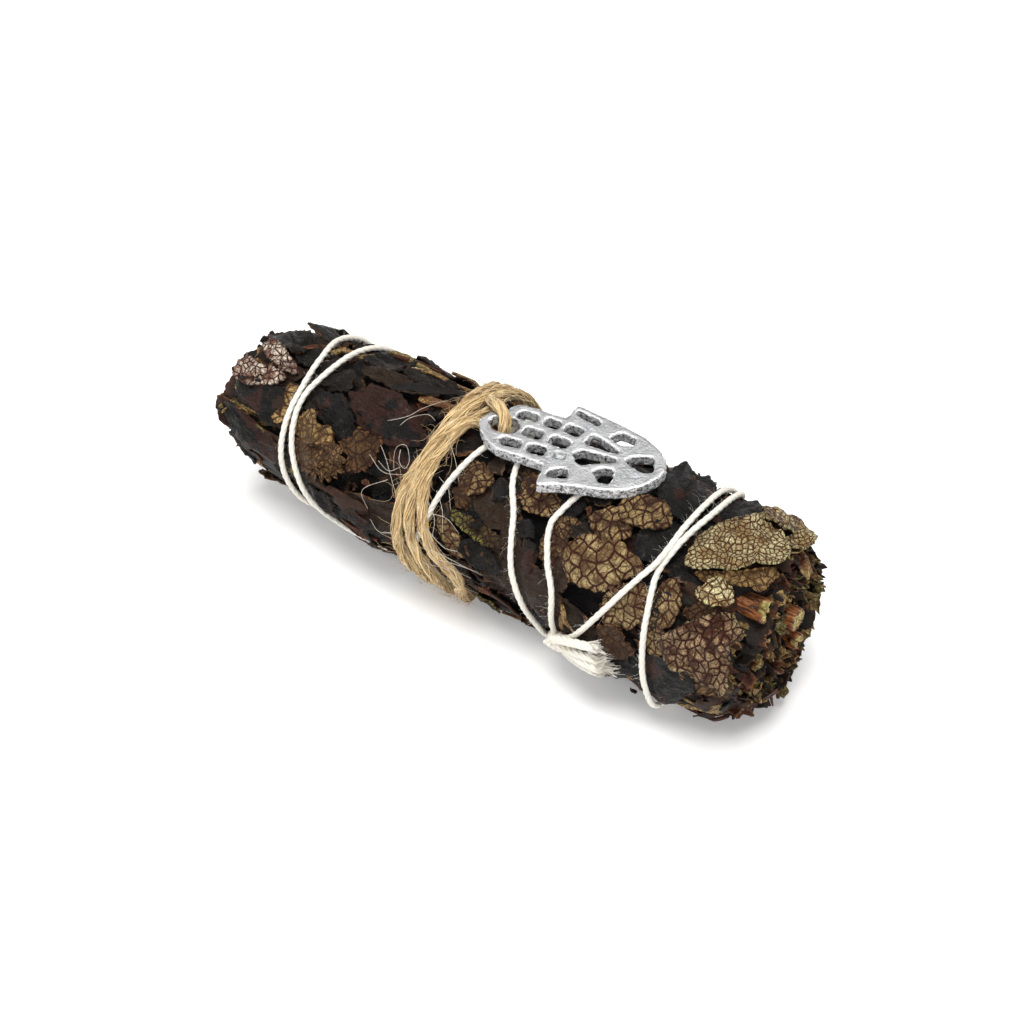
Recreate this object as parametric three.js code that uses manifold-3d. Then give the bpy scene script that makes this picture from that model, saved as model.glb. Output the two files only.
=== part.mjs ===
// A small smudge stick: dark dried leaves rolled into a bundle and chopped off at one end, wound with white
// cotton thread and with jute twine that holds a flat cast charm, an open hand, on top of the bundle.
// Millimetres and degrees. +X runs along the stick to the chopped end, -Y is the side with the thread's
// knot, +Z is up, and the origin is under the middle of the stick, on the flat spot that it rests on.
// A place on the bundle is x along the stick and an angle round it: 0 on top, 90 on the -Y side.
import * as THREE from 'three';
import { mergeVertices } from 'three/addons/utils/BufferGeometryUtils.js';
import Module from 'manifold-3d';

const wasm = await Module();
wasm.setup();

// The bundle
const HALF_LENGTH = 52.5;
const AXIS_HEIGHT = 16.9; // of the bundle's axis over the surface, at the middle
const AXIS_FALL = 0.022; // how much lower the axis is for each millimetre towards the chopped end
const PROFILE = [[-52.5, 11], [-47, 13.4], [-38, 14.3], [-20, 15.4], [0, 15.8],
  [20, 16.4], [36, 16.8], [45, 16], [50, 12.5], [52.5, 8.4]]; // outer radius along the stick
const REST = { from: -24, to: 42, ease: 7, sink: 0.5 }; // where the underside sags on to the surface
const CORE = { from: -51, to: 50.2, inset: 1.5, stations: 12, around: 20, lump: 0.5 };
const GAP = 0.3; // between separate pieces
const MERGE = 0.001; // points closer than this are one point
const BOUNDS_SIZE = 100; // across and up, of the space that the stick is kept in

// The cords
const THREAD = { radius: 0.5, sides: 6, step: 7.5, lift: 0.1 };
const TWINE = { radius: 1.15, sides: 6, step: 5.2, lift: 0.8 };
const CORD_FLOOR = 0.15; // under a cord, where it passes below the stick
const CORD_SPAN = 9; // steps of a cord in one piece of it, before the pieces are joined
const PRESS = { flat: 1.8, slope: 0.35 }; // how leaves dip under a cord: beside it, and rising further off
const MM_PER_DEGREE = 0.28; // round the bundle, for laying out routes
const BACKTRACK = 30; // a route's angle falls, so a rise by more than this is the start of a new turn

// [x, angle, extra lift]: each turn goes up the front, over the top, down the back and under.
const THREAD_ROUTE = [
  [20, 110], [23, 99], [27.4, 74], [31, 51], [33.4, 35, 0.6], [33.8, 16], [34, -9], [33.2, -60], [34, -150],
  [36.8, 131], [35.6, 95], [34.6, 62], [33.7, 42, -0.3], [34.6, 24], [36.1, -8], [34.5, -50], [28, -110],
  [21, -160], [18.8, 115], [18.6, 80], [16.6, 62], [14.9, 44], [15.6, 32, -0.1], [17, 10, -0.4],
  [15.5, -20, -0.3], [14.5, -100], [14.5, 178], [13.8, 108], [11, 75], [8.6, 48], [5.4, 27, -0.1],
  [3, -10, -0.3], [1, -80], [-7, -150, -1.2], [-16, 150, -1], [-25, 131], [-30.6, 116], [-33.8, 82],
  [-35.2, 58], [-35.4, 38], [-33.9, 12], [-32.8, -25], [-31, -80], [-32.5, 180], [-35, 124], [-36.6, 88],
  [-36.8, 55], [-36.6, 32], [-37.2, 8], [-38.6, -24], [-37, -80], [-29, -150], [-15, 165, -1],
  [-8.2, 120, -0.3], [-8, 95, -0.3], [-6.3, 76, -0.2], [-4.7, 55], [-2.6, 30], [0, 0, -0.2], [3, -60],
  [9, -140], [14.5, 145], [17.6, 116],
];
const TWINE_ROUTE = [
  [-9, -128, 0.6], [-10.5, -170], [-13, 140], [-12.4, 92], [-11.9, 62], [-10.8, 38], [-10.3, 12, 0.2],
  [-12, -24], [-13.4, -60], [-12, -110], [-9, 178], [-7.2, 125], [-8.9, 88], [-9.4, 58], [-8.7, 30, 0.6],
  [-8.4, 6, 1.2], [-9.6, -34, 0.3], [-8.6, -90], [-4, -170], [-1.2, 128], [-5, 94], [-7.4, 66], [-7.8, 42],
  [-6.6, 24, -0.3], [-4.6, 12.5, -1.7], [-2, 11.3, -1.9], [0.2, 9.5, 0.2], [0.3, 7.1, 2.9], [-0.6, 4.4, 4.2],
  [-2.4, 1.4, 4.3], [-4.6, -2.4, 2.9], [-6.4, -10, 1.4], [-6.3, -38, 0.4], [-5.4, -80], [-7, -122, 0.5],
];
const THREAD_KNOT = [
  { at: [18.6, 113], long: 3.4, wide: 1.7, turn: 20 },
  { at: [20.6, 111], long: 2.6, wide: 1.6, turn: 35 },
];
const THREAD_TAILS = [
  [[20.5, 111, 0.6], [23, 107, 1], [25.5, 103, 1], [28.4, 101, 0.9]],
  [[20.5, 112, 0.6], [24, 112, 1], [27.5, 109, 1.1], [31.2, 105, 1]],
];
const TAIL_RADIUS = 0.8;
const KNOT_LIFT = { thread: 0.7, twine: 1.3 };
const TWINE_KNOT = { at: [-8, -125], long: 5, wide: 3.2, turn: 60 };

// Leaves that lie outermost with the pale underside up, the uppermost first.
// at: place; turn: of the rib from +X towards the front; ends: the part that is there of a leaf, 0 to 1.
const PALE_LEAVES = [
  { name: 'small_pale', at: [42.6, 41], turn: -14, long: 6, wide: 4.2, ends: [0.1, 0.95], color: 0x9c8560 },
  { name: 'curled', at: [43.6, 68], turn: -38, long: 15.5, wide: 8.6, ends: [0.15, 0.8], color: 0x6f4a34 },
  { name: 'olive', at: [41.2, 9], turn: -36, long: 16.5, wide: 9.4, ends: [0.12, 0.9], color: 0x8a8450 },
  { name: 'rim', at: [44.4, -33], turn: -70, long: 11, wide: 6.2, ends: [0.2, 0.9], color: 0x5c4630 },
  { name: 'behind_thread', at: [36.8, 53], turn: 73, long: 7, wide: 4.6, ends: [0.1, 0.9], color: 0x86704a },
  { name: 'net_a', at: [23.7, 30], turn: -9, long: 6.8, wide: 5.6, ends: [0.05, 0.8], color: 0x8a6e4c },
  { name: 'net_b', at: [27.4, 17], turn: -6, long: 8.8, wide: 5.4, ends: [0.05, 0.9], color: 0x876c48 },
  { name: 'wide_net', at: [24.6, 50], turn: -19, long: 13.5, wide: 9.6, ends: [0.2, 0.8], color: 0xa08c62 },
  { name: 'low_net', at: [30.6, 66], turn: -48, long: 10, wide: 6.6, ends: [0.1, 0.9], color: 0x8f7850 },
  { name: 'mid_net', at: [11.2, 34], turn: -5, long: 8.6, wide: 4.4, ends: [0.1, 0.9], color: 0x7d6440 },
  { name: 'upper_net', at: [-0.6, 38], turn: 7, long: 7.2, wide: 5.8, ends: [0.1, 0.8], color: 0x7a6042 },
  { name: 'olive_fold', at: [3.9, 64], turn: 8, long: 11.4, wide: 3.2, ends: [0, 0.9], color: 0x6f7038 },
  { name: 'left_net', at: [-0.8, 79], turn: 32, long: 8, wide: 4.6, ends: [0.1, 0.85], color: 0x8c7548 },
  { name: 'pink_a', at: [-46.2, 35], turn: 3, long: 11.2, wide: 6, ends: [0.15, 0.95], color: 0xa98f80 },
  { name: 'pink_b', at: [-44, 19], turn: 23, long: 10.4, wide: 4.2, ends: [0.05, 0.9], color: 0xa48a7c },
  { name: 'tan', at: [-31, 52], turn: -2, long: 11.5, wide: 4.6, ends: [0.05, 0.9], color: 0x84693f },
  { name: 'toothed', at: [-29.4, 69], turn: -8, long: 13, wide: 7.4, ends: [0.2, 0.8], color: 0x74552f },
  { name: 'brown_lobe', at: [-21.4, 55], turn: -4, long: 8, wide: 7, ends: [0.25, 0.9], color: 0x5c3f28 },
];
const SLIMMEST = 0.35; // half width at a leaf's tip
const FULLNESS = 0.65; // how bluntly a leaf narrows to its ends
const PALE = { rows: 4, columns: 2, thick: 0.7, level: -0.35, tip: 0.5, margin: 0.25, notch: 0.16 };

// Dark leaves fused into the bundle: those that show on the front, and rings of them on the other sides.
const DARK_LEAVES = [
  { at: [-46.6, -4], turn: 38, long: 14.9, wide: 7, ends: [0.1, 0.9] },
  { at: [-44.6, 52], turn: 2, long: 12.5, wide: 7, ends: [0.1, 0.9] },
  { at: [-45, 80], turn: 20, long: 17.5, wide: 10, ends: [0.1, 0.9] },
  { at: [-19.8, 27], turn: 12, long: 18, wide: 7.4, ends: [0.05, 0.9] },
  { at: [-29.4, 38], turn: 18, long: 12, wide: 7, ends: [0.1, 0.95] },
  { at: [-28, -17], turn: 14, long: 12, wide: 8, ends: [0.1, 0.9] },
  { at: [-22, 2], turn: -4, long: 16, wide: 4, ends: [0.2, 0.9] },
  { at: [-14.9, -14], turn: -30, long: 18, wide: 4.6, ends: [0.1, 0.95] },
  { at: [5.2, 47], turn: 13, long: 9, wide: 6.6, ends: [0.1, 0.9] },
  { at: [12, 82], turn: 8, long: 17, wide: 10.4, ends: [0.1, 0.9] },
  { at: [31.6, 26], turn: -50, long: 9, wide: 6, ends: [0.1, 0.9] },
  { at: [38, -18], turn: -80, long: 14, wide: 5.6, ends: [0.1, 0.9] },
  { at: [29.6, -14], turn: 74, long: 16, wide: 8, ends: [0.1, 0.9] },
  { at: [38.8, 106], turn: -70, long: 15, wide: 9, ends: [0.1, 0.9] },
  { at: [-16, 88], turn: -12, long: 20, wide: 8, ends: [0.1, 0.9] },
];
const LEAF_RINGS = { from: -41, step: 20, count: 5, around: 4, first: -62, spacing: 52, long: 25, wide: 13 };
const DARK = { rows: 3, columns: 2, thick: 2, level: -1.2, tip: 1.1, margin: 0.3, notch: 0.2 };

// Rolled leaf layers that stand out of the ends: radius, from and to angle, and how far they reach.
const ROLLS = [
  [10.6, -150, -20, 51.4], [10.4, 100, 190, 51.2], [7.4, -60, 130, 52.5], [7, 160, 280, 52],
  [11.6, 25, 70, 49.6], [3.6, -80, 120, 52.2],
  [10, -110, 40, -52.5], [9.6, 70, 200, -52.3], [5.6, -40, 170, -52],
];
const ROLL = { thick: 0.8, root: 4, steps: 6, ragged: 1, wave: 0.8 };

// Cut stems at the chopped end: across, up from the axis, where the cut face is, and radius.
const STEMS = [
  [2.4, 3.4, 52, 1.6], [2.2, -2.4, 52.3, 1.3], [-8.6, -3.6, 50.6, 1.2],
  [-5.6, 8.4, 50.4, 1.5], [-4.6, 0.4, 51.4, 1],
];
const STEM = { buried: 9, sides: 9, taper: 0.85, clear: 6 };

// The charm, in its own plane: first number along it from the ring to the palm, second across it.
const CHARM = { top: 35.9, tilt: 10, turn: 10.4, thick: 2.2 };
const CHARM_OUTLINE = [
  [-1.4, -6.6], [-2.9, -5.3], [-4, -4], [-4.3, -2.5], [-3.8, -1.2], [-2.6, -0.2], [-1.1, 0.2], [-0.7, 1.3],
  [0.4, 2.2], [3.2, 2.3], [6.7, 1.8], [8.5, 1.9], [9, 5], [12, 4.3], [16.3, 3.4], [21.2, 2.1], [24.2, 0.5],
  [26, -1.3], [26.7, -3.2], [26.1, -5.2], [24.8, -7.1], [22.6, -8.8], [19.5, -9.9], [15.3, -10.5],
  [11.8, -11.3], [9.2, -12.3], [9.1, -10.2], [8.9, -8.1], [5.3, -7.8], [0.6, -7.6],
];
const CHARM_WINDOWS = [
  [[-3, -2.6], [-2.2, -1.4], [-0.4, -0.8], [1.2, -1.1], [2.1, -2.1], [2, -3.3], [0.8, -4], [-1.5, -3.9]],
  [[0.8, -0.1], [1.3, 1.1], [4.1, 1], [4.1, -0.4], [1.6, -0.6]],
  [[5.5, -0.6], [5.6, 1], [8.1, 0.7], [7.9, -0.8]],
  [[9.1, -0.9], [9.2, 0.8], [12, 0.4], [11.5, -1.2]],
  [[3.1, -3.5], [3.4, -1.8], [6.3, -2], [6.1, -3.7]],
  [[7.7, -3.7], [8, -2], [11.2, -2.5], [10.4, -4.2]],
  [[0.3, -5.5], [0.8, -4.8], [3.9, -4.9], [3.9, -6.3], [1.1, -6.4]],
  [[5.1, -6.5], [5.2, -4.8], [8, -4.8], [8, -6.6]],
  [[9.5, 3], [9.7, 3.9], [13.9, 2.9], [13.6, 1.8]],
  [[13, -2.3], [13.7, 0.2], [18.6, -1.8], [18.4, -2.5]],
  [[12.3, -4.4], [13.5, -3.5], [18.8, -3.5], [18.9, -4.3], [16.2, -5.2], [14.3, -6.3], [13, -5.7]],
  [[16.2, 0.2], [17.6, 1.7], [20.2, 1.2], [20.1, -0.3], [18.5, -0.5]],
  [[20.3, -3.6], [21, -2.3], [24.1, -1.4], [25, -4.2], [23.5, -4.7]],
  [[10.1, -10.2], [10.3, -8.7], [12, -7.9], [13, -8.4], [13.1, -9.6]],
  [[16.4, -7.1], [17.5, -6], [19.4, -5.7], [19.8, -8.3], [18.2, -8.7], [17.6, -7.8]],
];
const CHARM_RECESS = { outline: [[9.5, -6.2], [9.5, -5], [11.3, -5.1], [11.6, -6.3]], deep: 0.8 };

const DARK_COLOR = 0x2b2422;
const THREAD_COLOR = 0xeae5d8;
const TWINE_COLOR = 0xb8945f;
const STEM_COLOR = 0x7a4a22;
const CHARM_COLOR = 0xb9bcc0;

// Numbers

const radians = THREE.MathUtils.degToRad;
const lerp = THREE.MathUtils.lerp;

function ease(from, to, value) {
  return THREE.MathUtils.smoothstep(value, from, to);
}

function wrap(angle) {
  return THREE.MathUtils.euclideanModulo(angle + 180, 360) - 180;
}

// A fixed random number from 0 to 1 for each whole number.
function draw(key) {
  const value = Math.sin(key * 127.1 + 311.7) * 43758.5453;
  return value - Math.floor(value);
}

function alongProfile(x) {
  const next = PROFILE.findIndex(([station]) => station >= x);
  const end = next < 0 ? PROFILE.length - 1 : Math.max(1, next);
  const [x0, r0] = PROFILE[end - 1];
  const [x1, r1] = PROFILE[end];
  return lerp(r0, r1, THREE.MathUtils.clamp((x - x0) / (x1 - x0), 0, 1));
}

function axisHeight(x) {
  return AXIS_HEIGHT - AXIS_FALL * x;
}

// How fully a place belongs to the underside that rests on the surface, 0 to 1.
function resting(x, angle) {
  const along = ease(REST.from - REST.ease, REST.from, x) * (1 - ease(REST.to, REST.to + REST.ease, x));
  return along * ease(125, 165, Math.abs(wrap(angle)));
}

// Outer radius of the bundle at a place.
function envelope(x, angle) {
  const round = alongProfile(x);
  return round + resting(x, angle) * (axisHeight(x) + REST.sink - round);
}

function placed(x, angle, radius) {
  const a = radians(angle);
  return new THREE.Vector3(x, -radius * Math.sin(a), axisHeight(x) + radius * Math.cos(a));
}

// Solids

function solidOf(geometry) {
  geometry.deleteAttribute('normal');
  geometry.deleteAttribute('uv');
  const merged = mergeVertices(geometry, MERGE);
  const vertProperties = new Float32Array(merged.attributes.position.array);
  const triVerts = new Uint32Array(merged.index.array);
  return new wasm.Manifold(new wasm.Mesh({ numProp: 3, vertProperties, triVerts }));
}

function geometryOf(solid) {
  const { vertProperties, triVerts } = solid.getMesh();
  const geometry = new THREE.BufferGeometry();
  geometry.setAttribute('position', new THREE.Float32BufferAttribute(vertProperties, 3));
  geometry.setIndex(Array.from(triVerts));
  geometry.computeVertexNormals();
  return geometry;
}

function biggest(solid) {
  return solid.decompose().reduce((a, b) => (a.volume() > b.volume() ? a : b));
}

// The largest body of a solid: loose scraps go, and hollows that joining has sealed are filled, also those
// that are sealed only once close points are merged.
function largest(solid) {
  return biggest(solidOf(geometryOf(biggest(solid))));
}

function withoutAll(solid, others) {
  return others.reduce((left, other) => left.subtract(other), solid);
}

// A closed skin over rings of the same number of points, with flat ends.
function skin(rings) {
  const around = rings[0].length;
  const points = rings.flat();
  const index = [];
  const quad = (a, b, c, d) => index.push(a, b, c, a, c, d);
  for (let i = 0; i + 1 < rings.length; i += 1) {
    for (let j = 0; j < around; j += 1) {
      const k = (j + 1) % around;
      quad(i * around + j, i * around + k, (i + 1) * around + k, (i + 1) * around + j);
    }
  }
  const last = (rings.length - 1) * around;
  for (let j = 1; j + 1 < around; j += 1) {
    index.push(0, j + 1, j);
    index.push(last, last + j, last + j + 1);
  }
  const geometry = new THREE.BufferGeometry().setFromPoints(points);
  geometry.setIndex(index);
  return geometry;
}

// A skin over rings, turned the right way out.
function closed(rings) {
  const solid = solidOf(skin(rings));
  return solid.volume() > 0 ? solid : solidOf(skin(rings.map((ring) => [...ring].reverse())));
}

// Cords

// Rings of a round cord through the points, turned as little as they can be from one to the next.
function ringsAlong(points, radiusAt, sides) {
  let normal = new THREE.Vector3(0, 0, 1);
  return points.map((point, i) => {
    const before = points[Math.max(0, i - 1)];
    const after = points[Math.min(points.length - 1, i + 1)];
    const tangent = after.clone().sub(before).normalize();
    normal = normal.clone().addScaledVector(tangent, -normal.dot(tangent)).normalize();
    const side = tangent.clone().cross(normal);
    return Array.from({ length: sides }, (_, k) => {
      const a = (2 * Math.PI * k) / sides;
      const reach = radiusAt(i / (points.length - 1));
      return point.clone()
        .addScaledVector(normal, reach * Math.cos(a))
        .addScaledVector(side, reach * Math.sin(a));
    });
  });
}

// Samples of a route no further apart than a step, with its angle running on past a full turn.
function sampled(route, step) {
  let turns = 0;
  const laid = route.map(([x, angle, lift = 0], i) => {
    if (i > 0 && angle > route[i - 1][1] + BACKTRACK) turns += 1;
    return new THREE.Vector3(x, (angle - 360 * turns) * MM_PER_DEGREE, lift);
  });
  const curve = new THREE.CatmullRomCurve3(laid, false, 'centripetal');
  const points = [laid[0]];
  laid.slice(1).forEach((end, i) => {
    const parts = Math.ceil(laid[i].distanceTo(end) / step);
    for (let k = 1; k <= parts; k += 1) points.push(curve.getPoint((i + k / parts) / (laid.length - 1)));
  });
  return points.map((p) => ({ x: p.x, angle: wrap(p.y / MM_PER_DEGREE), lift: p.z }));
}

function cordPoints(samples, cord) {
  return samples.map(({ x, angle, lift }) => {
    const point = placed(x, angle, envelope(x, angle) + cord.lift + lift);
    point.z = Math.max(point.z, cord.radius + CORD_FLOOR);
    return point;
  });
}

// A wound cord, joined from pieces of half a turn or less.
function wound(points, radius, sides) {
  const rings = ringsAlong(points, () => radius, sides);
  const pieces = [];
  for (let start = 0; start + 1 < rings.length; start += CORD_SPAN) {
    pieces.push(closed(rings.slice(start, start + CORD_SPAN + 1)));
  }
  return wasm.Manifold.union(pieces);
}

// A plain rounded lump lying on the bundle, for a knot.
function lump({ at: [x, angle], long, wide, turn }, lift, grow = 0) {
  const geometry = new THREE.SphereGeometry(1, 8, 5);
  geometry.scale(long / 2 + grow, wide / 2 + grow, wide / 2 + grow);
  geometry.rotateZ(radians(-turn));
  geometry.rotateX(radians(angle));
  const centre = placed(x, angle, envelope(x, angle) + lift);
  return solidOf(geometry.translate(centre.x, centre.y, centre.z));
}

const threadSamples = sampled(THREAD_ROUTE, THREAD.step);
const twineSamples = sampled(TWINE_ROUTE, TWINE.step);
const threadPoints = cordPoints(threadSamples, THREAD);
const twinePoints = cordPoints(twineSamples, TWINE);

function threadSolid(grow = 0) {
  const tails = THREAD_TAILS.map((route) => {
    const points = cordPoints(sampled(route, THREAD.step), { ...THREAD, radius: TAIL_RADIUS });
    return closed(ringsAlong(points, () => TAIL_RADIUS + grow, THREAD.sides));
  });
  const knot = THREAD_KNOT.map((part) => lump(part, KNOT_LIFT.thread, grow));
  return wasm.Manifold.union([wound(threadPoints, THREAD.radius + grow, THREAD.sides), ...knot, ...tails]);
}

function twineSolid(grow = 0) {
  const knot = lump(TWINE_KNOT, KNOT_LIFT.twine, grow);
  return wound(twinePoints, TWINE.radius + grow, TWINE.sides).add(knot);
}

// Leaves

// How high over the bundle's radius a leaf may lie, so that it dips under the cords.
function pressed(x, angle) {
  let top = 9;
  for (const [samples, cord] of [[threadSamples, THREAD], [twineSamples, TWINE]]) {
    for (const sample of samples) {
      const dx = sample.x - x;
      const along = wrap(sample.angle - angle) * MM_PER_DEGREE;
      const away = Math.max(0, Math.hypot(dx, along) - cord.radius - PRESS.flat);
      const under = cord.lift + Math.min(sample.lift, GAP) - cord.radius - 1.5 * GAP;
      top = Math.min(top, under + PRESS.slope * away);
    }
  }
  return top;
}

// Half width of a leaf at u, 0 at one end and 1 at the other.
function halfWidth(leaf, u) {
  const whole = lerp(leaf.ends[0], leaf.ends[1], u);
  return Math.max(SLIMMEST, (leaf.wide / 2) * Math.sin(Math.PI * whole) ** FULLNESS);
}

// A leaf blade laid on the bundle, with teeth along both sides. A grown copy has no notches between them.
function blade(leaf, style, grow = 0) {
  const { rows, columns, thick, level, tip, margin, notch } = style;
  const [x0, angle0] = leaf.at;
  const turn = radians(leaf.turn);
  const rings = [];
  for (let i = 0; i <= 2 * rows; i += 1) {
    const u = i / (2 * rows);
    const tooth = i % 2 === 0 && i > 0 && i < 2 * rows && grow === 0 ? 1 - notch : 1;
    const half = halfWidth(leaf, u) + grow;
    const along = (u - 0.5) * (leaf.long + 2 * grow);
    const faces = [[], []];
    for (let j = 0; j <= columns; j += 1) {
      const v = (2 * j) / columns - 1;
      const across = v * half * (Math.abs(v) === 1 ? tooth : 1);
      const x = x0 + along * Math.cos(turn) - across * Math.sin(turn);
      const angle = angle0 + (along * Math.sin(turn) + across * Math.cos(turn)) / MM_PER_DEGREE;
      const rise = level + tip * u * u + margin * v * v;
      const outer = envelope(x, angle) + Math.min(rise, pressed(x, angle));
      faces[0].push(placed(x, angle, outer + grow));
      faces[1].push(placed(x, angle, outer - thick - grow));
    }
    rings.push([...faces[0], ...faces[1].reverse()]);
  }
  return closed(rings);
}

// Dark leaves in rings over the sides of the bundle that are turned away from the front.
function ringLeaves() {
  const leaves = [];
  for (let ring = 0; ring < LEAF_RINGS.count; ring += 1) {
    for (let k = 0; k < LEAF_RINGS.around; k += 1) {
      const key = ring * 31 + k * 7;
      const back = draw(key) < 0.5 ? 180 : 0;
      leaves.push({
        at: [
          LEAF_RINGS.from + LEAF_RINGS.step * ring + 5 * (draw(key + 1) - 0.5),
          LEAF_RINGS.first - LEAF_RINGS.spacing * (k + 0.4 * (ring % 2) + 0.3 * (draw(key + 2) - 0.5)),
        ],
        turn: back + 44 * (draw(key + 3) - 0.5),
        long: LEAF_RINGS.long * (0.85 + 0.3 * draw(key + 4)),
        wide: LEAF_RINGS.wide * (0.85 + 0.3 * draw(key + 5)),
        ends: [0.08, 0.95],
      });
    }
  }
  return leaves;
}

// The bundle

function coreSolid() {
  const rings = [];
  for (let i = 0; i <= CORE.stations; i += 1) {
    const x = lerp(CORE.from, CORE.to, i / CORE.stations);
    rings.push(Array.from({ length: CORE.around }, (_, k) => {
      const angle = (360 * k) / CORE.around;
      const inset = CORE.inset + CORE.lump * draw(i * 53 + k);
      return placed(x, angle, envelope(x, angle) - inset * (1 - resting(x, angle)));
    }));
  }
  return closed(rings);
}

// One curled layer of leaf standing out of an end of the core.
function rollSolid([radius, from, to, reach], order) {
  const side = Math.sign(reach);
  const rings = Array.from({ length: ROLL.steps + 1 }, (_, i) => {
    const angle = lerp(from, to, i / ROLL.steps);
    const out = reach - side * ROLL.ragged * draw(order * 17 + i);
    const spiral = radius + ROLL.wave * Math.sin(radians(3 * angle));
    return [
      placed(out, angle, spiral + ROLL.thick / 2),
      placed(out, angle, spiral - ROLL.thick / 2),
      placed(out - side * ROLL.root, angle, spiral - ROLL.thick / 2),
      placed(out - side * ROLL.root, angle, spiral + ROLL.thick / 2),
    ];
  });
  return closed(rings);
}

// A straight stem along the stick, from its buried end to the cut.
function stemSolid([across, up, cut, radius], grow = 0) {
  const start = cut - STEM.buried - grow;
  const end = cut + (grow > 0 ? STEM.clear : 0);
  const rings = [[start, radius * STEM.taper], [end, radius]].map(([x, reach]) => (
    Array.from({ length: STEM.sides }, (_, k) => {
      const a = (2 * Math.PI * k) / STEM.sides;
      const r = reach + grow;
      return new THREE.Vector3(x, across + r * Math.cos(a), axisHeight(cut) + up + r * Math.sin(a));
    })
  ));
  return closed(rings);
}

// The space over the surface, between the two ends of the stick.
function boundsSolid() {
  const space = new THREE.BoxGeometry(2 * HALF_LENGTH, BOUNDS_SIZE, BOUNDS_SIZE);
  return solidOf(space.translate(0, 0, BOUNDS_SIZE / 2));
}

function packSolid(cutters) {
  const blades = [...DARK_LEAVES, ...ringLeaves()].map((leaf) => blade(leaf, DARK));
  const whole = wasm.Manifold.union([coreSolid(), ...blades, ...ROLLS.map(rollSolid)]);
  return largest(withoutAll(whole.intersect(boundsSolid()), cutters));
}

// The charm

function flatShape(points) {
  return new THREE.Shape(points.map(([along, across]) => new THREE.Vector2(along, across)));
}

function charmSolid() {
  const { thick } = CHARM;
  const raised = { depth: thick, bevelEnabled: false };
  const shape = flatShape([...CHARM_OUTLINE].reverse()); // anticlockwise, so that the windows turn to suit
  shape.holes = CHARM_WINDOWS.map(flatShape);
  const plate = new THREE.ExtrudeGeometry(shape, raised).translate(0, 0, -thick);
  const recess = new THREE.ExtrudeGeometry(flatShape(CHARM_RECESS.outline), raised);
  return solidOf(plate).subtract(solidOf(recess.translate(0, 0, -CHARM_RECESS.deep)));
}

// Where the charm lies: flat on top, leaning to the front and turned a little along the stick.
function charmPlace() {
  const turned = new THREE.Euler(radians(CHARM.tilt), 0, radians(CHARM.turn), 'XYZ');
  return new THREE.Matrix4().makeRotationFromEuler(turned).setPosition(0, 0, CHARM.top);
}

// The assembly

const stick = new THREE.Group();

function addPiece(name, solid, color, roughness, metalness = 0) {
  const material = new THREE.MeshStandardMaterial({ color, roughness, metalness });
  const mesh = new THREE.Mesh(geometryOf(solid), material);
  mesh.name = name;
  stick.add(mesh);
}

const thread = threadSolid();
const threadRoom = threadSolid(GAP);
const twine = twineSolid().subtract(threadRoom);
const twineRoom = twineSolid(GAP);

const leafRooms = [];
PALE_LEAVES.forEach((leaf) => {
  const whole = blade(leaf, PALE).intersect(boundsSolid());
  const solid = largest(withoutAll(whole, [threadRoom, twineRoom, ...leafRooms]));
  leafRooms.push(blade(leaf, PALE, GAP));
  addPiece(`leaf_${leaf.name}`, solid, leaf.color, 0.85);
});

const stemRooms = STEMS.map((stem) => stemSolid(stem, GAP));
addPiece('leaf_pack', packSolid([threadRoom, twineRoom, ...leafRooms, ...stemRooms]), DARK_COLOR, 0.7);
STEMS.forEach((stem, i) => addPiece(`stem_${i + 1}`, stemSolid(stem), STEM_COLOR, 0.8));
addPiece('cotton_thread', thread, THREAD_COLOR, 0.95);
addPiece('jute_twine', largest(twine), TWINE_COLOR, 0.95);

const charm = charmSolid().transform(charmPlace().elements);
addPiece('hamsa_charm', largest(withoutAll(charm, [threadRoom, twineRoom])), CHARM_COLOR, 0.45, 0.9);

export default stick;
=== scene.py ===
# The looks of a small smudge stick: dark dried leaves rolled into a bundle, pale net-veined leaves outermost,
# cut stems at the chopped end, white cotton thread, jute twine and a flat cast charm, an open hand.
# Shapes are worked out in millimetres and become metres when a mesh is made.
# A place on the bundle is x along the stick and an angle round it: 0 on top, 90 on the side towards -Y.
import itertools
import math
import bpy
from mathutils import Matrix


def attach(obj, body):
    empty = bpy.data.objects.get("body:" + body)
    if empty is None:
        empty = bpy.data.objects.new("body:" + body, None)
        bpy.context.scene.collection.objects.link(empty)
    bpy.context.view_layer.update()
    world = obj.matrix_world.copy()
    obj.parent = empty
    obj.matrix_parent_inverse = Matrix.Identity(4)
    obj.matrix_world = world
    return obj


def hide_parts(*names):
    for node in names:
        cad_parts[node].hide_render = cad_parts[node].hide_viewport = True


bl_info = {
    "name": "Sage Smudge Stick",
    "version": (1, 0, 0),
    "blender": (4, 5, 0),
    "location": "View3D > Sidebar > Smudge Stick",
    "description": "Builds the leaves, stems, cords and charm of a small smudge stick around its frame",
    "category": "Add Mesh",
}

import bpy
import numpy as np
from bpy.props import FloatProperty, FloatVectorProperty, IntProperty, PointerProperty
from mathutils import Matrix, Vector

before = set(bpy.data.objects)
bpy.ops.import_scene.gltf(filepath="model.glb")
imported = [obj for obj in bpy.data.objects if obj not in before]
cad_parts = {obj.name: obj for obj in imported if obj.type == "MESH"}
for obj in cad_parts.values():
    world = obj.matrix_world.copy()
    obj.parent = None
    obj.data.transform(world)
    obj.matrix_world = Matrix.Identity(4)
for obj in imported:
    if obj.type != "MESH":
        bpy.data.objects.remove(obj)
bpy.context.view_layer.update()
MM = 0.001

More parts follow.
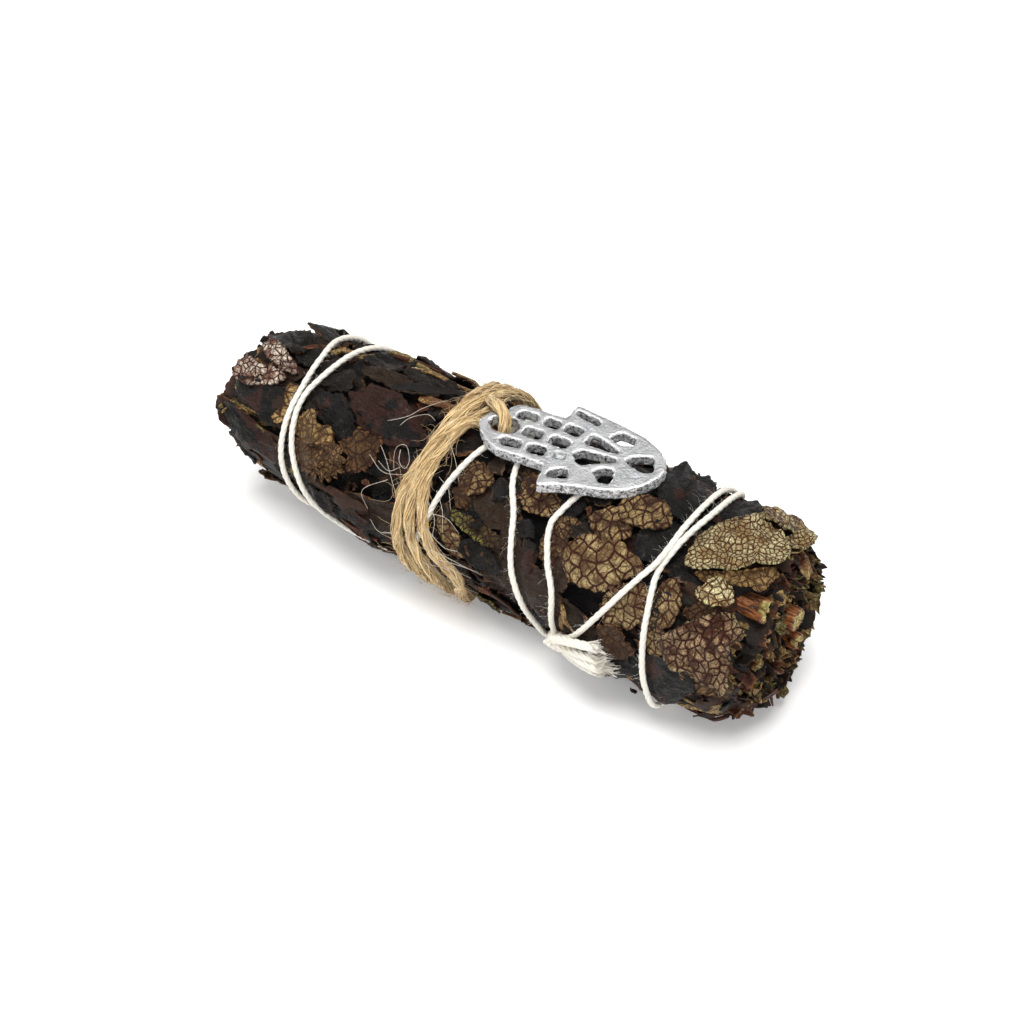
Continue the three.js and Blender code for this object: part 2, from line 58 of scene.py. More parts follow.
# The bundle
HALF_LENGTH = 52.5
AXIS_HEIGHT = 16.9
AXIS_FALL = 0.022
PROFILE_X = [-52.5, -47, -38, -20, 0, 20, 36, 45, 50, 52.5]
PROFILE_RADIUS = [11, 13.4, 14.3, 15.4, 15.8, 16.4, 16.8, 16, 12.5, 8.4]
REST_FROM, REST_TO, REST_EASE, REST_SINK = -24, 42, 7, 0.5
# Hollows and swellings of its outside: x, angle, reach along and round in millimetres and degrees, height
HOLLOWS = [
    (48.6, 38, 3.6, 13, -3.2), (49, -38, 4.5, 42, 0.7), (8, 118, 11, 20, -1.1), (-20, 112, 9, 20, 0.8),
    (-51, -45, 6, 45, -1.3), (-53, 45, 4, 30, 0.8), (31, 122, 8, 22, 1.6), (50.5, 116, 4, 18, -1.0),
    (41, 124, 6, 20, 0.9), (-43, 117, 4, 14, -0.6), (-15, -30, 6, 14, -0.8),
]
MM_PER_DEGREE = 0.28
BACKTRACK = 30  # degrees back along a route that start a new turn
NO_HOLD = 99  # for a leaf that follows the bundle all the way to its end
TABLE_GAP = 0.05
GOLDEN_TURN = 2.39996  # radians from one strand to the next

# Where the fixed random numbers of each group of pieces start
RING_KEY, PALE_KEY, MORE_KEY, ROUND_KEY, CRUMB_KEY = 500, 1000, 1500, 1900, 3000
STRIP_KEY, TORN_KEY, FUZZ_KEY, FIBRE_KEY = 7000, 11000, 20000, 40000
STALK_KEY, STEM_KEY, WRAP_KEY, LOOP_KEY, LOOSE_KEY, WINDING_KEY = 60, 90, 50, 70, 60, 30

# The cords' routes: [x, angle, extra lift], each turn up the front, over the top, down the back and under
THREAD_ROUTE = [
    [20, 110], [23, 99], [27.4, 74], [31, 51], [33.4, 35, 0.6], [33.8, 16], [34, -9], [33.2, -60],
    [34, -150], [36.8, 131], [35.6, 95], [34.6, 62], [33.7, 42, -0.3], [34.6, 24], [36.1, -8], [34.5, -50],
    [28, -110], [21, -160], [18.8, 115], [18.6, 80], [16.6, 62], [14.9, 44], [15.6, 32, -0.1],
    [17, 10, -0.4], [15.5, -20, -0.3], [14.5, -100], [14.5, 178], [13.3, 108], [10.7, 75], [8.6, 48],
    [5.4, 27, -0.1], [3, -10, -0.3], [1, -80], [-7, -150, -1.2], [-16, 150, -1], [-25, 131], [-30.6, 116],
    [-33.8, 82], [-35.2, 58], [-35.4, 38], [-33.9, 12], [-32.8, -25], [-31, -80], [-32.5, 180], [-35, 124],
    [-36.6, 88], [-36.8, 55], [-36.6, 32], [-37.2, 8], [-38.6, -24], [-37, -80], [-29, -150], [-15, 165, -1],
    [-8.2, 120, -0.3], [-8, 95, -0.3], [-6.3, 76, -0.2], [-4.7, 55], [-2.6, 30], [0, 0, -0.2], [3, -60],
    [9, -140], [14.5, 145], [17.6, 116],
]
TWINE_ROUTE = [
    [-9, -128, 0.6], [-9, -170], [-9.4, 150], [-9.4, 120], [-10.2, 106], [-10.9, 92], [-10.9, 64],
    [-9.4, 39], [-8.9, 12, 0.2], [-9.6, -16], [-12.4, -60], [-12, -110], [-8, 178], [-6, 150], [-5.6, 114],
    [-7, 99], [-8.1, 88], [-8.7, 74], [-8.9, 60], [-8.5, 36, 0.9], [-7.4, 10, 0.9], [-7.6, -16, 0.5],
    [-9, -44, 0.3], [-8.6, -90], [-4, -170], [-2.6, 145], [-0.6, 118], [0.1, 107], [-0.8, 100], [-2.9, 93],
    [-4.9, 84], [-6.3, 72], [-7.2, 60], [-7.7, 50], [-7.6, 40], [-7.1, 31, 0.3], [-6.7, 19, 0.3],
    [-6.2, 10, 0.1], [-5, 6, -0.8], [-3, 6.4, -1.8], [-0.8, 8.6, -1.7],
    [0.2, 9.3, 0.2], [0.3, 7.1, 2.6], [-0.6, 4.4, 3.5], [-2.4, 1.4, 3.4], [-4.4, -3, 2.1], [-5.8, -10, 1],
    [-6, -38, 0.4], [-5.4, -80], [-7, -122, 0.5],
]
THREAD_RADIUS, THREAD_LIFT = 0.5, 0.1
TWINE_RADIUS, TWINE_LIFT = 1.15, 0.8
CORD_FLOOR = 0.15

# Pale leaves: place, turn of the rib from +X towards the front, kind of finish, size of the net's cells,
# level over the bundle, how much the rim curls, what else is its own, and the outline round the place
PALE_LEAVES = {
    "leaf_small_pale": ((42.6, 41), 0, "olive", 1.0, 0.3, 0.5, {"hold": 42}, [
        (-2.7, 0.1), (-1.7, -1.3), (-0.4, -2.3), (1, -2.7), (2.8, -2), (3.1, -0.5), (1.9, 0.6), (-0.2, 1),
        (-1.9, 1)]),
    "leaf_curled": ((43.6, 68), -38, "rose", 1.2, 0.2, 2, {"hold": 45}, [
        (-6.1, -2.9), (-3.5, -3.7), (1.7, -4.1), (5.5, -4), (6.8, -2.3), (7.7, -0.4), (6.2, 0.4), (5, 1.9),
        (3.9, 3), (3.8, 5.2), (2.6, 6.6), (1, 6.6), (-0.6, 5.2), (-3, 2.8), (-5.4, 0.5)]),
    "leaf_olive": ((41.2, 9), -36, "olive", 0.76, 0.2, 1.1, {"hold": 45}, [
        (-7.2, 2.3), (-6.2, 0.1), (-4.4, -2.2), (-1.3, -4), (2.3, -4.6), (5, -3.8), (7, -1.6), (8, 2),
        (7.3, 4), (5.8, 5), (1.9, 4.6), (-3, 4.5), (-5.9, 3.9)]),
    "leaf_rim": ((44.4, -33), -70, "olive", 1.0, -0.1, 0.6, {}, [
        (-5.4, -0.6), (-3, -2.6), (1, -3), (4.4, -2.2), (5.6, 0.2), (4, 2.2), (0.4, 3), (-3.6, 2.4)]),
    "leaf_behind_thread": ((36.8, 53), 73, "tan", 1.5, -0.3, 0.2, {}, [
        (-3.6, -0.2), (-2, -2), (0.8, -2.3), (3.2, -1.2), (3.6, 0.6), (1.6, 2.2), (-1.6, 2)]),
    "leaf_net_a": ((23.7, 30), -9, "brown", 1.6, -0.2, 0.3, {}, [
        (-3.3, -0.4), (-1.6, -2.5), (1.2, -2.8), (3.2, -1.2), (3.3, 1.2), (1, 2.6), (-1.8, 2.3)]),
    "leaf_net_b": ((27.4, 17), -6, "brown", 1.5, 0, 0.4, {}, [
        (-4.3, -0.2), (-2.4, -2.2), (0.8, -2.8), (3.2, -2), (4.4, 0.2), (2.8, 1.8), (-0.4, 2.6), (-3, 2)]),
    "leaf_wide_net": ((24.6, 50), -19, "tan", 1.9, -0.1, 0.5, {}, [
        (-6, 0.8), (-5.3, -2.2), (-3.1, -3.7), (-0.8, -4), (0.3, -3), (3.3, -3.3), (4.9, -1.9), (6.8, -0.8),
        (7, 0.6), (4.7, 1.9), (1.7, 3.9), (-1.2, 3.9), (-4, 2.9)]),
    "leaf_low_net": ((30.6, 66), -48, "tan", 1.5, -0.5, 0.3, {}, [
        (-4.8, -0.4), (-2.6, -2.8), (1.2, -3.2), (4.2, -2), (4.8, 0.6), (2.2, 2.9), (-1.6, 3.1), (-4, 1.8)]),
    "leaf_mid_net": ((11.2, 34), -5, "brown", 1.5, -0.3, 0.4, {}, [
        (-4.2, -0.2), (-2.4, -1.8), (1, -2.1), (3.6, -1.2), (4.2, 0.6), (1.8, 2), (-1.6, 2.1)]),
    "leaf_upper_net": ((-0.6, 38), 7, "brown", 1.2, -0.1, 0.3, {}, [
        (-3.5, -0.6), (-1.8, -2.6), (1.2, -2.8), (3.4, -1.4), (3.3, 1), (1.2, 2.6), (-1.8, 2.5)]),
    "leaf_olive_fold": ((3.9, 64), 8, "moss", 1.0, -0.1, 0.9, {"rim": 0.35}, [
        (-5.7, -0.6), (-3, -1.2), (0.6, -1.5), (4, -1.2), (5.7, -0.4), (4.6, 0.7), (1, 1.1), (-2.6, 1.2),
        (-5, 0.7)]),
    "leaf_left_net": ((-0.8, 79), 32, "tan", 1.5, -0.1, 0.3, {}, [
        (-4.6, -0.8), (-4, -2.4), (-0.7, -2.6), (2.7, -2.7), (3.6, -1.2), (2.4, 0.8), (0.4, 1.6),
        (-2.8, 1.2)]),
    "leaf_pink_a": ((-46.2, 35), 3, "pink", 1.2, 0, 0.5, {}, [
        (-5.4, 1.2), (-4.6, -1.8), (-2.2, -1.8), (0, -1.2), (3, -1.9), (5.7, -1.4), (5, 0.6), (2, 2.2),
        (-0.8, 3.4), (-3.6, 3.4)]),
    "leaf_pink_b": ((-44, 19), 23, "pink", 1.2, 0, 0.5, {}, [
        (-4.8, 0.8), (-4.5, -1.1), (-2.2, -1.9), (1.5, -1), (4.6, -1.1), (5.4, 0.3), (2.6, 1.5), (-0.6, 2.1),
        (-3, 1.8)]),
    "leaf_tan": ((-31, 52), -2, "bronze", 1.2, 0.65, 0.6, {}, [
        (-5.6, 2.6), (-5.4, 0.6), (-3.9, -0.4), (-3.4, -1.6), (-1.7, -2.5), (0.2, -2.3), (0.3, -1),
        (2.2, -0.6), (3.8, -0.9), (4.9, 1.3), (2.2, 2.2), (-0.6, 3), (-3.1, 3.2)]),
    "leaf_toothed": ((-29.4, 69), -8, "umber", 0.9, 0.25, 0.2, {"teeth": 0}, [
        (-6.6, 0.8), (-5.2, -1.5), (-1.5, -2.8), (1.5, -3.4), (4, -3.4), (6.4, -3), (5.8, -1.9), (7.5, -1.2),
        (5.7, -0.6), (7.1, 0.8), (4.9, 0.3), (5.8, 2.2), (3.6, 1.1), (4.2, 3.3), (2.3, 1.7), (2.2, 4.1),
        (0.8, 2.2), (0.2, 4.6), (-0.9, 2.6), (-1.8, 4.8), (-2.6, 2.9), (-3.7, 4.8), (-4.4, 3.1),
        (-5.6, 3.6)]),
    "leaf_brown_lobe": ((-21.4, 55), -4, "rust", 1.8, 0.1, 0.7, {"teeth": 0.6}, [
        (-3.5, -0.6), (-2.3, -1.9), (-1.5, -3.1), (-0.7, -3.9), (2, -3.7), (3.9, -3.5), (3.7, -1.5),
        (3.4, 0.5), (1.9, 2.3), (-0.7, 3), (-0.8, 1.5), (-2.4, 0.3)]),
}

# Dark leaves on the front: x, angle, turn, long, wide, level
DARK_LEAVES = [
    [-46.6, -4, 38, 15.6, 7.6, -0.2], [-44.6, 52, 2, 13, 7.6, -0.7], [-45, 80, 20, 18, 10.5, -0.6],
    [-19.8, 27, 12, 18.5, 8.4, -0.1], [-29.4, 38, 18, 12, 7, -0.1], [-28, -17, 14, 12, 8.4, -0.3],
    [-22, 2, -4, 16, 4.6, -0.2], [-18, -12, -12, 13, 4.4, -0.6], [5.2, 47, 13, 9, 6.6, -0.6],
    [12, 82, 8, 17, 10.6, -0.6], [31.6, 26, -50, 9, 6, -0.6], [38, -18, -80, 14, 5.8, -0.2],
    [29.6, -14, 74, 17, 8.6, -0.5], [39, 100, -66, 14, 9, -0.7], [-16, 88, -12, 20, 8, -0.5],
    [-40, 6, 60, 9, 5, -0.6], [-33, 92, 6, 18, 7, -0.8], [-24, 106, 14, 20, 8, -0.7],
    [-2, 108, -6, 18, 9, -0.8], [22, 98, 12, 15, 9, -0.9], [17, 8, 20, 15, 8, -0.9],
    [30, 100, -20, 13, 8, -0.8], [-46, 97, 12, 13, 7, -1.2], [8, 12, -10, 16, 9, -1.0],
    [-31.5, 18, -16, 8, 4.6, 0.1], [-12, 44, 30, 12, 8, -1.0], [-42.4, -21, 16, 8, 4.6, 0.6],
    [-22, 98, 4, 19, 5, -0.1], [-26, 116, 2, 22, 6, -0.3], [37, 62, 70, 9, 5, -0.4],
    [1.4, 56, 30, 6, 3.4, 0], [8, 30, -40, 6, 3.6, -0.2], [9.6, 62, 60, 7, 4, -0.3], [5, 78, 20, 9, 4, -0.1],
    [16, 24, 70, 8, 4.4, -0.4], [19, 66, -70, 9, 4, -0.6], [2, 26, 60, 5, 3, 0.1], [11, 52, -20, 5, 3, 0.1],
    [4.4, 38, 75, 5, 2.6, 0], [20, 40, 30, 5, 3, -0.1], [13, 64, 80, 6, 3, 0], [-2.6, 66, 60, 5, 3, 0],
]
DARK_OUTLINES = {
    1: [(-5.7, 2.3), (-5.6, -2), (-0.1, -3.2), (4.9, -3.9), (6.1, -1.7), (5.5, 1.4), (6.7, 3.7), (4.3, 3.9),
        (1, 3.3), (-2.2, 2.4)],
    2: [(-9.8, 3.2), (-8.8, -1.6), (-7.7, -1.7), (-5, -2.7), (-1.9, -2.8), (1.3, -3.1), (4.6, -3.3),
        (7.3, -2.4), (8.8, 0.2), (7.5, 4), (0.5, 6), (-4, 6)],
    3: [(-7.9, 1.2), (-5.5, -2.4), (-0.1, -4), (4, -3.6), (8.2, -1.6), (8.4, 1), (4.3, 3.6), (0.9, 4.8),
        (-3, 4.2)],
    4: [(-4.7, 1.6), (-3.9, -1.2), (-0.2, -3.2), (4.7, -1.9), (6.6, 1.1), (5, 3.2), (1.6, 2.9), (-2, 2.6)],
    26: [(-3.8, 0.8), (-3, -1.8), (-0.6, -2.6), (2.2, -2.4), (4, -0.6), (3.6, 1.6), (1, 2.4), (-2, 2.4)],
}

# More pale leaves: place, turn, kind, size of cells, level, outline
MORE_LEAVES = [
    ((46.3, 24), 0, "bronze", 1.1, -0.6, [
        (-7.2, 2.6), (-3.7, 0.7), (-0.6, -0.9), (2.2, -3.4), (3.3, -2.2), (2.6, 0.6), (1.1, 0.9),
        (-1.4, 1.7), (-5.6, 3)], 42),
    ((44.3, -35), 0, "rose", 1.1, -0.2, [
        (-4, 1.5), (-3.6, -2.6), (-1.4, -3.2), (0.7, -5), (2.7, -5), (3.3, -2), (2.6, 1.5), (1.4, 5),
        (-0.4, 6), (-2.2, 4.6)]),
    ((48, -22), 0, "olive", 0.8, -0.3, [
        (-1.6, 1.6), (-1.4, -2), (-0.1, -4.2), (1.5, -3.2), (1.7, 1.5), (0.6, 3.4), (-0.8, 3.2)]),
    ((46.2, 88), 0, "brown", 1.0, -0.6, [
        (-2.9, -2), (-0.8, -3.8), (1.3, -2.7), (2.5, 0.5), (1.7, 4.2), (-0.4, 3.4), (-2.2, 0.8)]),
    ((30.4, 86), 0, "rust", 1.2, -0.1, [
        (-3.8, -0.2), (-2, -1.7), (-0.6, -2.4), (1.2, -1.9), (3.5, 0.2), (2.8, 1.6), (1.2, 2.3),
        (-1.5, 1.9)]),
    ((43, 55), 0, "rust", 1.1, -0.7, [
        (-3.6, -0.2), (-2.4, -1.9), (-1, -3), (0.8, -2.9), (1.2, -2.3), (-0.7, -0.5), (-2.4, 0.5)]),
    ((43, 100), 0, "umber", 1.3, -0.7, [
        (-1.6, -4.6), (0.1, -6.1), (1.6, -4.3), (3.6, -4.6), (5.6, -4.4), (6.6, -3.2), (5.2, -1.2),
        (3.4, -0.4), (1.6, -1.2), (-0.4, -1.4)]),
    ((-38.8, 40), 0, "bronze", 1.6, 0, [
        (-0.8, 5.8), (-0.8, 4.6), (0.3, 2.3), (-0.3, 0.5), (-0.5, -1.5), (1, -2), (2.4, -0.3), (2.6, 2.5),
        (2.4, 4.9), (0.7, 5.9)]),
    ((16.6, 52), 80, "brown", 1.1, -0.7, [
        (-4.5, -0.6), (-2.2, -2.2), (1, -2.4), (4, -1.4), (4.4, 0.8), (1.6, 2.2), (-2, 2)]),
    ((7.3, 24), 30, "moss", 0.9, -0.4, [
        (-2.4, -0.6), (-0.6, -1.8), (1.6, -1.6), (2.5, 0.2), (1.2, 1.7), (-1.2, 1.6)]),
    ((-1.1, 51), -5, "rust", 1.4, -0.1, [
        (-2.2, -0.7), (0, -1.3), (2.3, -1.8), (2.6, 0), (1.6, 1.6), (-0.2, 1.3)]),
    ((17.4, 40), 0, "tan", 1.2, -0.7, [
        (-2.2, -0.5), (-0.6, -1.5), (1.8, -1.3), (2.3, 0.3), (0.8, 1.5), (-1.4, 1.3)]),
    ((36.8, 76), 60, "brown", 1.2, -0.7, [
        (-4, -0.6), (-1.6, -2.2), (1.6, -2.4), (4, -0.8), (3.4, 1.4), (0, 2.2), (-3, 1.6)]),
]

# Slim dry stalks and folded leaf edges: from x, angle, to x, angle, how wide, tone
STALKS = [
    (-23, -14, -13, -29, 1.1, 0.8), (-31, -30, -16, -24, 1.5, 0.95), (-22, 9, -10.8, -16, 1.9, 0.12),
    (-16.5, 8, -9.5, 4, 1.5, 0.75), (-38, -4, -30.6, -15, 1.2, 0.85), (20.2, 82, 22.6, 103, 1.1, 0.85),
    (-28, -22, -20, -34, 1, 0.6), (-42, 12, -37.5, -14, 1.1, 0.7), (-3, 108, 9, 116, 1.2, 0.5),
    (-20, -45, -6, -52, 1.2, 0.8), (-40, -60, -24, -52, 1.4, 0.6), (10, -62, 28, -70, 1.4, 0.75),
    (-34, 150, -20, 140, 1.2, 0.6), (22, -110, 38, -100, 1.3, 0.8), (-16, -120, 0, -130, 1.2, 0.5),
    (4, 150, 18, 158, 1.3, 0.7), (-45, -100, -30, -108, 1.2, 0.8), (36, 150, 47, 140, 1.2, 0.6),
    (-29.4, 87.4, -17.2, 87.2, 1.9, 0.5), (-26, 104, -16, 108, 1.2, 0.62),
    (20, 92, 20.6, 108, 1.6, 0.8), (-4, 116, 6, 109, 1, 0.7),
]

# Cut stems at the chopped end: across, up from the axis, where the cut is, radius and how split it is
STEMS = [
    (0.4, 4.2, 51.9, 1.8, 0.4), (2.2, -2.2, 51.8, 1.4, 1), (-9, -3.2, 50.6, 1.4, 0.4),
    (-6.5, 10.1, 49.8, 1.9, 3.2), (-5.6, 1.4, 50.8, 1, 1.2),
]
STEM_BURIED = 9
# The tip of a stem: how far before the cut, share of the radius, how much pith
STEM_TIP = [
    (0.4, 1, 0), (0, 0.98, 0), (0.05, 0.84, 0.3), (0.3, 0.76, 1), (0.2, 0.45, 1), (0.35, 0.2, 0.8),
    (0.5, 0.01, 0.2),
]
# Where the chopped layers end: radius, and x at that radius
RIGHT_END = [0, 6, 9, 12.5, 14.5, 16.3], [50.2, 50.8, 50.8, 49.4, 47.6, 44.5]
LEFT_END = [0, 6, 10.6, 12, 13.4, 14.3], [-50.6, -51.6, -52, -51.2, -48.5, -43]

# The thread's knot: wraps round the crossing, and folded strands that end in frayed tufts
KNOT_WRAPS = [((18.4, 113.5), 1.25, 20), ((19.4, 112.5), 1.3, 35), ((20.5, 111.5), 1.15, 10)]
KNOT_LOOPS = [
    [(18.2, 116, 0.4), (20.6, 110, 1.3), (24, 104.5, 1.5), (27.2, 101.5, 1.3), (28.2, 103, 0.9),
    (25, 107, 0.9)], [(18.6, 117, 0.3), (21.5, 114.5, 1.2), (25, 112, 1.4), (28.4, 108.6, 1.3)],
    [(19.5, 110, 0.6), (22.6, 108, 1.5), (26, 106, 1.7), (29.2, 104.8, 1.4)],
    [(18.2, 113, 0.8), (21, 102.5, 1.5), (23.9, 97.5, 1.5), (26.7, 94.5, 1.3), (28.3, 94, 1)],
]
TUFTS = [((27.6, 108.6), -16, 4.2, 1.5), ((28.4, 104), -12, 3.6, 1.6), ((27.4, 100), -30, 2.8, 1.2),
         ((27.4, 94.4), -8, 2.6, 1.3)]
TWINE_KNOT = ((-8, -125), 5, 3.2, 60)
TWINE_LOOSE = [(-8, 46, 0.8), (-7, 24, 0.9), (-5.9, 8, 0.8), (-5.2, -8, 0.9), (-5.4, -22, 0.9)]

HAIR_REACH = 2.3  # over the bundle, for loose fibres

# Stray hairs that are seen singly: x, angle and lift over the bundle
HAIRS = [
    [(-18.8, 30, 0.3), (-15.3, 24, 1.6), (-13.7, 17, 2), (-11.2, 6, 2)],
    [(-16.2, 29.5, 0.6), (-14.9, 24, 1.4), (-12.3, 19, 2), (-10.6, 20, 1.8)],
    [(-13.3, 42, 1.8), (-12.9, 48, 1.4), (-11.4, 50, 1.6), (-10.7, 45, 2.4), (-12.2, 39, 2.6),
     (-13.8, 41, 2.2), (-14.2, 46, 1.4), (-13.4, 54, 1)],
    [(-17.9, 44, 0.4), (-15.3, 50, 1.3), (-12.8, 59, 1.6), (-11.4, 65, 1.6)],
    [(-17, 53, 0.6), (-14.1, 55, 1.5), (-12, 50, 1.9)], [(-19, 52, 0.5), (-15.2, 57, 1.3), (-11, 53, 2)],
    [(-4.7, 53, 1.6), (-2.6, 61, 1.6), (-2.1, 74, 0.8)], [(-4.8, 87, 1.6), (-0.6, 85, 1.8), (5.6, 90, 0.4)],
    [(-2.8, 93, 1.2), (0.4, 88, 1.6), (5.2, 88, 0.6)], [(-5.5, 60, 1.8), (-3.2, 68, 2), (-3.9, 87, 1.4)],
    [(-6, 103, 1.2), (-0.6, 95, 1.6), (1.4, 110, 0.8)], [(-9, 20, 2.4), (-4, 34, 1.8), (-2, 44, 0.8)],
    [(-7, 100, 1), (-1, 108, 1.4), (3, 118, 0.6)], [(-14, 60, 1), (-18, 72, 1.4), (-17, 84, 0.6)],
    [(-5, 66, 1.8), (-1.6, 64, 1.5), (0.8, 70, 0.7)], [(-4.6, 74, 1.8), (-0.8, 80, 1.7), (2.4, 79, 0.7)],
    [(-5.6, 80, 1.8), (-2, 92, 1.7), (3.4, 97, 0.6)], [(-5, 46, 1.8), (-2.6, 50, 1.8), (-1.6, 60, 0.8)],
    [(-6, 70, 1.8), (-3, 82, 1.8), (-2.4, 96, 0.8)], [(-11, 88, 1.4), (-14, 92, 1.6), (-16.5, 90, 0.6)],
]

# The charm in its own plane: along it from the ring to the palm, and across it
CHARM_OUTLINE = [
    (-1.4, -6.6), (-2.9, -5.3), (-4, -4), (-4.3, -2.5), (-3.8, -1.2), (-2.6, -0.2), (-1.1, 0.2), (-0.7, 1.3),
    (0.4, 2.2), (3.2, 2.3), (6.7, 1.8), (8.5, 1.9), (9, 5), (12, 4.3), (16.3, 3.4), (21.2, 2.1), (24.2, 0.5),
    (26, -1.3), (26.7, -3.2), (26.1, -5.2), (24.8, -7.1), (22.6, -8.8), (19.5, -9.9), (15.3, -10.5),
    (11.8, -11.3), (9.2, -12.3), (9.1, -10.2), (8.9, -8.1), (5.3, -7.8), (0.6, -7.6),
]
CHARM_WINDOWS = [
    [(-3, -2.6), (-2.2, -1.4), (-0.4, -0.8), (1.2, -1.1), (2.1, -2.1), (2, -3.3), (0.8, -4), (-1.5, -3.9)],
    [(0.8, -0.1), (1.3, 1.1), (4.1, 1), (4.1, -0.4), (1.6, -0.6)],
    [(5.5, -0.6), (5.6, 1), (8.1, 0.7), (7.9, -0.8)],
    [(9.1, -0.9), (9.2, 0.8), (12, 0.4), (11.5, -1.2)],
    [(3.1, -3.5), (3.4, -1.8), (6.3, -2), (6.1, -3.7)],
    [(7.7, -3.7), (8, -2), (11.2, -2.5), (10.4, -4.2)],
    [(0.3, -5.5), (0.8, -4.8), (3.9, -4.9), (3.9, -6.3), (1.1, -6.4)],
    [(5.1, -6.5), (5.2, -4.8), (8, -4.8), (8, -6.6)],
    [(9.5, 3), (9.7, 3.9), (13.9, 2.9), (13.6, 1.8)],
    [(13, -2.3), (13.7, 0.2), (18.6, -1.8), (18.4, -2.5)],
    [(12.3, -4.4), (13.5, -3.5), (18.8, -3.5), (18.9, -4.3), (16.2, -5.2), (14.3, -6.3), (13, -5.7)],
    [(16.2, 0.2), (17.6, 1.7), (20.2, 1.2), (20.1, -0.3), (18.5, -0.5)],
    [(20.3, -3.6), (21, -2.3), (24.1, -1.4), (25, -4.2), (23.5, -4.7)],
    [(10.1, -10.2), (10.3, -8.7), (12, -7.9), (13, -8.4), (13.1, -9.6)],
    [(16.4, -7.1), (17.5, -6), (19.4, -5.7), (19.8, -8.3), (18.2, -8.7), (17.6, -7.8)],
]
WINDOW_GROWTH = 0.22
CHARM_RECESS = (9.4, 11.5, -6.4, -4.9)
RECESS_DEEP = 0.6


# Numbers


def ease(low, high, value):
    t = np.clip((np.asarray(value, float) - low) / (high - low), 0, 1)
    return t * t * (3 - 2 * t)


def wrap(angle):
    return (np.asarray(angle, float) + 180) % 360 - 180


def draw(key):
    """A fixed random number from 0 to 1 for each whole number."""
    value = np.sin(np.asarray(key, float) * 127.1 + 311.7) * 43758.5453
    return value - np.floor(value)


def lattice(cells, seed):
    """A fixed random number from 0 to 1 for each cell of a grid."""
    steps = (127.1, 311.7, 74.7)
    value = np.sin(sum(cells[:, i] * steps[i] for i in range(cells.shape[1])) + 53.3 * seed) * 43758.5453
    return value - np.floor(value)


def noise(points, size, seed=0):
    """Smooth noise from -1 to 1 over points, with lumps of about that size."""
    scaled = np.asarray(points, float) / np.asarray(size, float)
    low = np.floor(scaled)
    part = scaled - low
    part = part * part * (3 - 2 * part)
    total = np.zeros(len(scaled))
    for corner in itertools.product((0, 1), repeat=scaled.shape[1]):
        share = np.prod(np.where(corner, part, 1 - part), axis=1)
        total += share * lattice(low + corner, seed)
    return 2 * total - 1


def shake(points, size, seed):
    """Smooth noise in two directions."""
    return np.stack([noise(points, size, seed), noise(points, size, seed + 1)], axis=1)


# The bundle's form


def axis_height(x):
    return AXIS_HEIGHT - AXIS_FALL * np.asarray(x, float)


def resting(x, angle):
    along = ease(REST_FROM - REST_EASE, REST_FROM, x) * (1 - ease(REST_TO, REST_TO + REST_EASE, x))
    return along * ease(125, 165, np.abs(wrap(angle)))


def envelope(x, angle):
    """Outer radius of the bundle at a place."""
    around = np.interp(x, PROFILE_X, PROFILE_RADIUS)
    for at, turn, long, wide, high in HOLLOWS:
        around = around + high * np.exp(-((x - at) / long) ** 2 - (wrap(angle - turn) / wide) ** 2)
    return around + resting(x, angle) * (axis_height(x) + REST_SINK - around)


def placed(x, angle, radius):
    a = np.radians(angle)
    x = np.broadcast_to(np.asarray(x, float), a.shape)
    return np.stack([x, -radius * np.sin(a), axis_height(x) + radius * np.cos(a)], axis=-1)


def frame_at(place, turn):
    """Directions ahead, sideways and outwards at a place, for something that is turned by so many degrees."""
    a, t = math.radians(place[1]), math.radians(turn)
    along = np.array([1, 0, 0])
    around = np.array([0, -math.cos(a), -math.sin(a)])
    out = np.array([0, -math.sin(a), math.cos(a)])
    return along * math.cos(t) + around * math.sin(t), around * math.cos(t) - along * math.sin(t), out


def kept(points, low=TABLE_GAP, reach=None):
    """Keeps points over the table and, with a reach, not further than that past the ends of the stick."""
    points[:, 2] = np.maximum(points[:, 2], low)
    if reach is not None:
        points[:, 0] = np.clip(points[:, 0], -HALF_LENGTH - reach, HALF_LENGTH + reach)
    return points


def spline(points, parts):
    """Points of a smooth curve through the points, with so many parts in each stretch and the last point."""
    points = np.asarray(points, float)
    ends = np.concatenate([2 * points[:1] - points[1:2], points, 2 * points[-1:] - points[-2:-1]])
    made = []
    for i in range(len(points) - 1):
        p0, p1, p2, p3 = ends[i:i + 4]
        t = np.arange(parts[i])[:, None] / parts[i]
        made.append(0.5 * (2 * p1 + (p2 - p0) * t + (2 * p0 - 5 * p1 + 4 * p2 - p3) * t ** 2
                           + (3 * p1 - p0 - 3 * p2 + p3) * t ** 3))
    return np.concatenate(made + [points[-1:]])


def route_places(route, step):
    """Places along a route about a step apart: x, angle and lift."""
    laid = []
    turns = 0
    for i, (x, angle, *lift) in enumerate(route):
        if i > 0 and angle > route[i - 1][1] + BACKTRACK:
            turns += 1
        laid.append([x, (angle - 360 * turns) * MM_PER_DEGREE, lift[0] if lift else 0])
    laid = np.array(laid)
    gaps = np.linalg.norm(np.diff(laid, axis=0), axis=1)
    places = spline(laid, np.maximum(1, np.ceil(gaps / step)).astype(int))
    return places[:, 0], wrap(places[:, 1] / MM_PER_DEGREE), places[:, 2]


def route_points(places, radius, lift):
    x, angle, extra = places
    return kept(placed(x, angle, envelope(x, angle) + lift + extra), radius + CORD_FLOOR)


THREAD_PLACES = route_places(THREAD_ROUTE, 2.0)
TWINE_PLACES = route_places(TWINE_ROUTE, 2.0)


